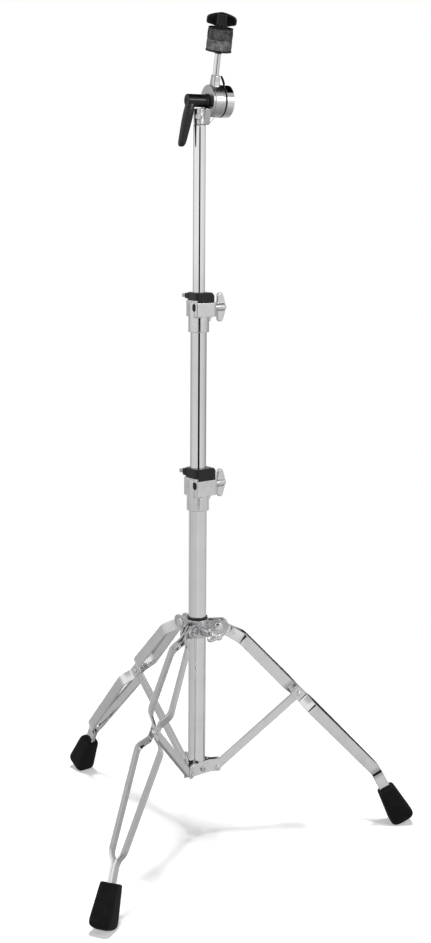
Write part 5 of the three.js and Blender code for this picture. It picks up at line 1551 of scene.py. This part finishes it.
@dataclass
class CymbalRod(SubAssembly):
    """The rod holder with the rod, seat, felts, washer and wing nut, drawn along the rod."""

    tilter: Tilter = field(default_factory=Tilter)
    tilt: float = 13.5
    offset: float = 22.2
    drum: Pair = (15.9, 33.1)
    neck_top: float = 38.5
    shoulder: float = 71.0
    seat: Pair = (73.4, 75.6)
    felt: float = 19.0
    felt_height: float = 15.0

    @property
    def place(self) -> Matrix:
        """Where the rod stands along Z from the drum's axis."""
        return self.tilter.place @ shift(self.offset, 0, 0) @ about("X", self.tilt)

    @property
    def stack(self) -> tuple[float, float, float, float]:
        """The lower ends of the lower felt, the upper felt, the washer and the nut.

        Returns:
            The four heights.
        """
        lower = self.seat[1] + 0.3
        upper = lower + self.felt_height + 0.3
        washer = upper + self.felt_height + 0.3
        return lower, upper, washer, washer + 1.8

    def holder(self) -> Form:
        """Makes the drum's middle part with the neck that holds the rod.

        Returns:
            The rod holder.
        """
        start, end = self.drum[0] - self.offset, self.drum[1] - self.offset
        rim = softened([(2, start), (24, start), (24, end), (2, end)], 0.9, 3, closed=False)
        drum = Bench.place(Bench.turned(rim, 96), ALONG_X)
        rings = [level(softened([(-x, -y), (x, -y), (x, y), (-x, y)], 4.2, 5), height)
                 for height, x, y in ((16.8, 6.2, 9.4), (21, 6.1, 8.4), (30, 6, 6.9),
                                      (self.neck_top - 0.8, 5.9, 6.1), (self.neck_top, 5.5, 5.6))]
        neck = Bench.swept(rings)
        whole = Bench.cast(0.5, 4, drum, neck)
        hole = Bench.turned([(5, 9.7), (5, self.neck_top + 3)], 48)
        bolt = Bench.place(Bench.turned([(4.3, -30), (4.3, 30)], 40), ALONG_X)
        return Bench.cut(whole, hole, bolt)

    def rod(self) -> Form:
        """Makes the rod with its shoulder and threaded end.

        Returns:
            The rod.
        """
        top = self.stack[3] + 16
        profile = [(3.9, 10), (4.7, 10.8), (4.7, 70.2), (4.2, 70.7), (4, 70.7), (4, top - 0.8), (3.2, top)]
        return Bench.turned(profile, 64)

    def sleeve(self) -> Form:
        """Makes the black seat with its sleeve.

        Returns:
            The seat.
        """
        low, high = self.seat
        top = self.stack[2] - 0.3
        nub = softened([(4.3, self.shoulder), (6.6, self.shoulder), (6.6, low), (19.6, low), (19.6, high),
                        (6.2, high), (6.2, top), (4.3, top)], 0.6, 3)
        return Bench.turned(nub, 96, closed=True)

    def pad(self, low: float, lean: float) -> Form:
        """Makes one felt: a thick soft ring, a little fuller in its middle.

        Args:
            low: its lower face.
            lean: how far its rim sits in at the top.

        Returns:
            The felt.
        """
        high, inner = low + self.felt_height, 6.5
        rim = [(inner, low + 0.1), (self.felt - 0.3, low), (self.felt, low + 1.4),
               (self.felt + 0.15, low + 7.5),
               (self.felt - lean, high - 1.4), (self.felt - 0.3 - lean, high), (inner, high - 0.1)]
        return Bench.turned(softened(rim, 0.6, 3), 96, closed=True)

    def washer(self) -> Form:
        """Makes the thin black washer under the nut.

        Returns:
            The washer.
        """
        low = self.stack[2]
        ring = softened([(4.3, low), (18.8, low), (18.8, low + 1.5), (4.3, low + 1.5)], 0.4, 2)
        return Bench.turned(ring, 96, closed=True)

    def nut(self) -> Form:
        """Makes the wing nut: a fluted hub with two round wings.

        Returns:
            The nut.
        """
        low = self.stack[3]
        flutes = []
        for k in range(96):
            angle = 2 * math.pi * k / 96
            radius = 7.6 * (1 - 0.16 * (1 + math.cos(8 * angle)) / 2)
            flutes.append((radius * math.cos(angle), radius * math.sin(angle)))
        hub = Bench.bevelled(Bench.swept([level(flutes, low), level(flutes, low + 19.5)]), 0.8, 3, 60)
        skirt = Bench.turned([(9.2, low), (9.2, low + 1.6), (7, low + 3.6)], 64)
        middle = low + 12.6
        half = [(0, low + 1.2), (9, low + 1.4), (14.5, middle - 9.6), (22.6, middle - 8.4),
                (22.6, middle + 2.6), (12.8, middle + 6.6)]
        outline = softened([*half, (0, low + 22), *[(-x, z) for x, z in reversed(half[1:])]], 4.4, 6)
        wings = Bench.swept([upright(outline, -3.1), upright(outline, 3.1)])
        Bench.bevelled(wings, 2.2, 4, 50)
        whole = Bench.cast(0.42, 3, hub, skirt, wings)
        bore = Bench.turned([(4.3, low - 3), (4.3, low + 17)], 40)
        return Bench.place(Bench.cut(whole, bore), about("Z", -22))

    def build(self) -> None:
        """Makes the rod's pieces."""
        lower, upper, _, _ = self.stack
        self.fit(Bench.place(self.holder(), self.place), "rod_holder", SATIN_CASTING, melted=True)
        self.fit(Bench.place(self.rod(), self.place), "cymbal_rod", PLATED_TUBE)
        self.fit(Bench.place(self.sleeve(), self.place), "cymbal_sleeve", MOULDED_NYLON)
        pads = (("lower_felt", lower, 0.0, GREY_WOOL), ("upper_felt", upper, 0.3, DARK_WOOL))
        for node, low, lean, finish in pads:
            felt = self.fit(Bench.place(self.pad(low, lean), self.place), node, finish)
        self.fit(Bench.place(self.washer(), self.place), "top_washer", MOULDED_NYLON)
        self.fit(Bench.place(self.nut(), self.place), "wing_nut", MOULDED_NYLON, melted=True)


@dataclass
class Studio:
    """The pale floor, the soft lamps, the room that the chrome mirrors, and the camera."""

    floor_radius: float = 1.15
    camera_turn: float = -97.54
    camera_reach: float = 2.235
    camera_height: float = 1.054
    focal_share: float = 1439 / 943
    sensor: float = 36.0
    wall_reach: float = 3.0
    wall_height: float = 2.5
    flag_turn: float = 8.0
    flag_reach: float = 2.0
    flag_height: float = 0.69
    flag_size: Pair = (0.9, 1.09)
    tilter_height: float = 1.18
    ceiling_step: tuple[float, float, float] = (0.29, 0.37, 0.88)
    ceiling_reach: float = 0.35
    ceiling_size: Pair = (0.58, 0.58)
    floor_grey: float = 0.86
    floor_glow: float = 0.31
    flag_grey: float = 0.003
    room_light: float = 0.22
    lamps: tuple[tuple[str, tuple[float, float, float], float, float, bool], ...] = (
        ("top_lamp", (-0.013, -0.211, 6.0), 0.75, 245.0, False),
        ("key_lamp", (1.8, -1.85, 1.9), 0.9, 12.0, True),
        ("fill_lamp", (-2.2, -3.4, 1.6), 2.0, 60.0, False),
    )
    high_room: tuple[Pair, ...] = (
        (-180, 0.6), (-150, 0.5), (-131, 0.42), (-108, 0.82), (-90, 0.95), (-8, 0.92), (28, 0.88), (90, 0.8),
        (120, 0.7), (138, 0.42), (158, 0.55), (180, 0.6),
    )
    middle_room: tuple[Pair, ...] = (
        (-180, 0.6), (-150, 0.5), (-128, 0.38), (-105, 0.58), (-88, 0.66), (-50, 0.7), (-10, 0.67),
        (26, 0.72), (60, 0.66), (98, 0.55), (120, 0.4), (135, 0.2), (152, 0.42), (180, 0.6),
    )
    low_room: tuple[Pair, ...] = (
        (-180, 0.6), (-138, 0.59), (-112, 0.46), (-92, 0.56), (-10, 0.61), (-1, 0.66), (3, 0.79), (7, 0.66),
        (90, 0.64), (110, 0.6), (126, 0.45), (142, 0.6), (180, 0.6),
    )

    def flat(self, name: str, color: tuple[float, float, float], glow: float) -> bpy.types.Material:
        """Makes a plain dull material, lifted towards white where the camera or a mirror sees it.

        Args:
            name: its name.
            color: its colour.
            glow: how much it is lifted.

        Returns:
            The material.
        """
        material = bpy.data.materials.new(name)
        material.use_nodes = True
        tree = material.node_tree
        tree.nodes.clear()
        dull = Group.node(tree, "BsdfDiffuse")
        dull.inputs["Color"].default_value = (*color, 1)
        light = Group.node(tree, "Emission")
        path = Group.node(tree, "LightPath")
        seen = Group.maths(tree, "MAXIMUM", path.outputs["Is Camera Ray"], path.outputs["Is Glossy Ray"])
        seen = Group.maths(tree, "MAXIMUM", seen, path.outputs["Is Transmission Ray"])
        tree.links.new(Group.maths(tree, "MULTIPLY", seen, glow), light.inputs["Strength"])
        both, leave = Group.node(tree, "AddShader"), Group.node(tree, "OutputMaterial")
        tree.links.new(dull.outputs[0], both.inputs[0])
        tree.links.new(light.outputs[0], both.inputs[1])
        tree.links.new(both.outputs[0], leave.inputs["Surface"])
        return material

    def floor(self) -> None:
        """Lays the pale floor."""
        Bench.clear()
        bpy.ops.mesh.primitive_circle_add(vertices=128, radius=self.floor_radius, fill_type="NGON",
                                          location=(0, 0, -0.0004))
        floor = bpy.context.active_object
        floor.name = "studio_floor"
        floor.data.materials.append(self.flat("pale_floor", (self.floor_grey,) * 3, self.floor_glow))
        floor.visible_glossy = False

    def mirror_only(self, form: Form, name: str) -> Form:
        """Keeps a studio piece out of everything but the mirroring surfaces.

        Args:
            form: the piece.
            name: its name.

        Returns:
            The same piece.
        """
        form.name = name
        form.visible_camera = False
        form.visible_diffuse = False
        form.visible_shadow = False
        return form

    def flag(self, name: str, spot: Vector, aim: Vector, size: Pair) -> None:
        """Hangs a black flag that only the mirroring surfaces show.

        Args:
            name: its name.
            spot: its middle, in metres.
            aim: the point that it faces.
            size: its width and height, in metres.
        """
        Bench.clear()
        bpy.ops.mesh.primitive_plane_add(size=1)
        form = bpy.context.active_object
        turn = (aim - spot).to_track_quat("Z", "Y").to_matrix().to_4x4()
        Bench.place(form, Matrix.Translation(spot) @ turn @ Matrix.Diagonal((*size, 1, 1)))
        form.data.materials.append(self.flat(name + "_cloth", (self.flag_grey,) * 3, 0.0))
        self.mirror_only(form, name)

    def wall(self) -> None:
        """Stands the room's wall that only the mirroring surfaces show, lighter in its upper half."""
        Bench.clear()
        bpy.ops.mesh.primitive_cylinder_add(
            vertices=96, radius=self.wall_reach, depth=self.wall_height, end_fill_type="NOTHING",
            location=(0, 0, self.wall_height / 2))
        form = Bench.place(bpy.context.active_object, Matrix.Translation((0, 0, self.wall_height / 2)))
        material = bpy.data.materials.new("room_wall")
        material.use_nodes = True
        tree = material.node_tree
        tree.nodes.clear()
        place = Group.node(tree, "TexCoord").outputs["Object"]
        bearing = self.bearing(tree, place)
        height = self.towards(tree, place, 0, 90)
        mixed = Group.node(tree, "Mix", data_type="RGBA")
        tree.links.new(self.step(tree, height, 0.5, 0.95, 0, 1), mixed.inputs["Factor"])
        tree.links.new(self.ramp(tree, bearing, self.middle_room), mixed.inputs["A"])
        tree.links.new(self.ramp(tree, bearing, self.high_room), mixed.inputs["B"])
        glow, leave = Group.node(tree, "Emission"), Group.node(tree, "OutputMaterial")
        tree.links.new(mixed.outputs["Result"], glow.inputs["Color"])
        tree.links.new(glow.outputs[0], leave.inputs["Surface"])
        form.data.materials.append(material)
        self.mirror_only(form, "room_wall")

    def lamp(self, name: str, spot: Vector, size: float, watts: float, mirrored: bool) -> None:
        """Hangs a soft square lamp that looks at the stand's middle.

        Args:
            name: its name.
            spot: where it hangs, in metres.
            size: its side, in metres.
            watts: its power.
            mirrored: whether glossy surfaces show it.
        """
        Bench.clear()
        bpy.ops.object.light_add(type="AREA", location=spot)
        lamp = bpy.context.active_object
        lamp.name = name
        lamp.data.shape = "SQUARE"
        lamp.data.size = size
        lamp.data.energy = watts
        lamp.visible_glossy = mirrored
        lamp.rotation_euler = (spot - Vector((0, 0, 0.6))).to_track_quat("Z", "Y").to_euler()

    def ramp(self, tree: Tree, value: Socket,
             stops: Sequence[Pair]) -> Socket:
        """Turns a direction round the stand into a grey.

        Args:
            tree: the world's tree.
            value: the direction, from 0 behind the stand through 0.5 at the camera to 1.
            stops: direction in degrees from the camera, and the grey there.

        Returns:
            The grey's socket.
        """
        made = Group.node(tree, "ValToRGB")
        elements = made.color_ramp.elements
        while len(elements) < len(stops):
            elements.new(0.5)
        for element, (degrees, grey) in zip(elements, stops):
            element.position = degrees / 360 + 0.5
            element.color = (grey, grey, grey, 1)
        tree.links.new(value, made.inputs["Fac"])
        return made.outputs["Color"]

    def step(self, tree: Tree, value: Socket,
             *ends: float) -> Socket:
        """Turns a value smoothly into another range.

        Args:
            tree: the world's tree.
            value: the value.
            ends: where it starts and ends, and what it gives there.

        Returns:
            The result's socket.
        """
        made = Group.node(tree, "MapRange", interpolation_type="SMOOTHSTEP")
        for name, end in zip(("From Min", "From Max", "To Min", "To Max"), ends):
            made.inputs[name].default_value = end
        tree.links.new(value, made.inputs["Value"])
        return made.outputs["Result"]

    def towards(self, tree: Tree, place: Socket, turn: float, lift: float
                ) -> Socket:
        """Gives how far a place or ray lies in a direction.

        Args:
            tree: the tree.
            place: the place or ray.
            turn: the direction from the camera, in degrees.
            lift: its height, in degrees.

        Returns:
            The length's socket.
        """
        made = Group.node(tree, "VectorMath", operation="DOT_PRODUCT")
        angle, flat = math.radians(self.camera_turn + turn), math.cos(math.radians(lift))
        made.inputs[1].default_value = (flat * math.cos(angle), flat * math.sin(angle),
                                        math.sin(math.radians(lift)))
        tree.links.new(place, made.inputs[0])
        return made.outputs["Value"]

    def bearing(self, tree: Tree, place: Socket) -> Socket:
        """Gives a direction round the stand, from 0 behind it through 0.5 at the camera to 1.

        Args:
            tree: the tree.
            place: the place or ray.

        Returns:
            The direction's socket.
        """
        angle = Group.maths(tree, "ARCTAN2", self.towards(tree, place, 90, 0),
                            self.towards(tree, place, 0, 0))
        return Group.maths(tree, "ADD", Group.maths(tree, "DIVIDE", angle, 2 * math.pi), 0.5)

    def sky(self) -> None:
        """Lights the set evenly, with white behind it and the studio's room in the chrome."""
        world = bpy.data.worlds.new("soft_room")
        bpy.context.scene.world = world
        world.use_nodes = True
        tree = world.node_tree
        tree.nodes.clear()
        path = Group.node(tree, "LightPath")
        white, light, mirror = (Group.node(tree, "Background") for _ in range(3))
        white.inputs["Color"].default_value = (1, 1, 1, 1)
        light.inputs["Color"].default_value = (1, 1, 1, 1)
        light.inputs["Strength"].default_value = self.room_light
        ray = Group.node(tree, "TexCoord").outputs["Generated"]
        lift = self.towards(tree, ray, 0, 90)
        near = Group.maths(tree, "MULTIPLY", self.ramp(tree, self.bearing(tree, ray), self.low_room),
                           self.step(tree, lift, -0.9, -0.35, 0.55, 1))
        room = Group.node(tree, "Mix", data_type="RGBA")
        tree.links.new(self.step(tree, lift, 0.0, 0.3, 0, 1), room.inputs["Factor"])
        tree.links.new(near, room.inputs["A"])
        room.inputs["B"].default_value = (0.5, 0.5, 0.5, 1)
        tree.links.new(room.outputs["Result"], mirror.inputs["Color"])
        shiny = Group.maths(tree, "MAXIMUM", path.outputs["Is Glossy Ray"],
                            path.outputs["Is Transmission Ray"])
        first, second = Group.node(tree, "MixShader"), Group.node(tree, "MixShader")
        tree.links.new(shiny, first.inputs["Fac"])
        tree.links.new(light.outputs[0], first.inputs[1])
        tree.links.new(mirror.outputs[0], first.inputs[2])
        tree.links.new(path.outputs["Is Camera Ray"], second.inputs["Fac"])
        tree.links.new(first.outputs[0], second.inputs[1])
        tree.links.new(white.outputs[0], second.inputs[2])
        tree.links.new(second.outputs[0], Group.node(tree, "OutputWorld").inputs["Surface"])

    def camera(self) -> None:
        """Stands the camera where the photograph was taken from."""
        pitch, yaw, roll = math.radians(11.14), math.radians(0.71), math.radians(0.40)
        turn = math.radians(self.camera_turn)
        spot = AXIS + Vector((math.cos(turn), math.sin(turn), 0)) * self.camera_reach
        spot.z = self.camera_height
        ahead = turn + math.pi - yaw
        forward = Vector((math.cos(ahead) * math.cos(pitch), math.sin(ahead) * math.cos(pitch),
                          -math.sin(pitch)))
        right = forward.cross(Vector((0, 0, 1))).normalized()
        up = right.cross(forward)
        tilted = right * math.cos(roll) + up * math.sin(roll)
        basis = Matrix((tilted, tilted.cross(forward), -forward)).transposed()
        Bench.clear()
        bpy.ops.object.camera_add()
        camera = bpy.context.active_object
        camera.name = "photo_camera"
        camera.matrix_world = Matrix.Translation(spot) @ basis.to_4x4()
        camera.data.sensor_width = self.sensor
        camera.data.lens = self.focal_share * self.sensor
        camera.data.clip_start = 0.01
        bpy.context.scene.camera = camera

    def build(self) -> None:
        """Sets up the studio."""
        bpy.context.scene.view_settings.view_transform = "Standard"
        self.camera()
        self.floor()
        self.wall()
        turn = math.radians(self.camera_turn + self.flag_turn)
        beside = AXIS + Vector((math.cos(turn), math.sin(turn), 0)) * self.flag_reach
        rise = Vector((0, 0, self.flag_height))
        self.flag("front_flag", beside + rise, AXIS + rise, self.flag_size)
        tilter = AXIS + Vector((0, 0, self.tilter_height))
        self.flag("ceiling_flag", tilter + Vector(self.ceiling_step) * self.ceiling_reach, tilter,
                  self.ceiling_size)
        for name, spot, size, watts, mirrored in self.lamps:
            self.lamp(name, Vector(spot), size, watts, mirrored)
        self.sky()


def main() -> None:
    """Builds the stand's sub-assemblies in order and sets up the studio."""
    logging.basicConfig(level=logging.INFO, format="%(message)s")
    parts: list[SubAssembly] = [
        Tubes(),
        *[Leg(number) for number in (1, 2, 3)],
        Bracket(),
        Collar(),
        Clamp("lower", 14.3, 12.7, 552.0, 30.0, 25.0, 24.0, 15.4, 38.0, 2.9, -142.0),
        Clamp("upper", 12.7, 9.525, 834.7, 24.0, 21.5, 20.5, 12.0, 32.5, 1.3, -146.0),
        Tilter(),
        CymbalRod(),
    ]
    Studio().build()
    for part in parts:
        part.build()
        LOG.info("built %s", type(part).__name__)


if __name__ == "__main__":
    main()
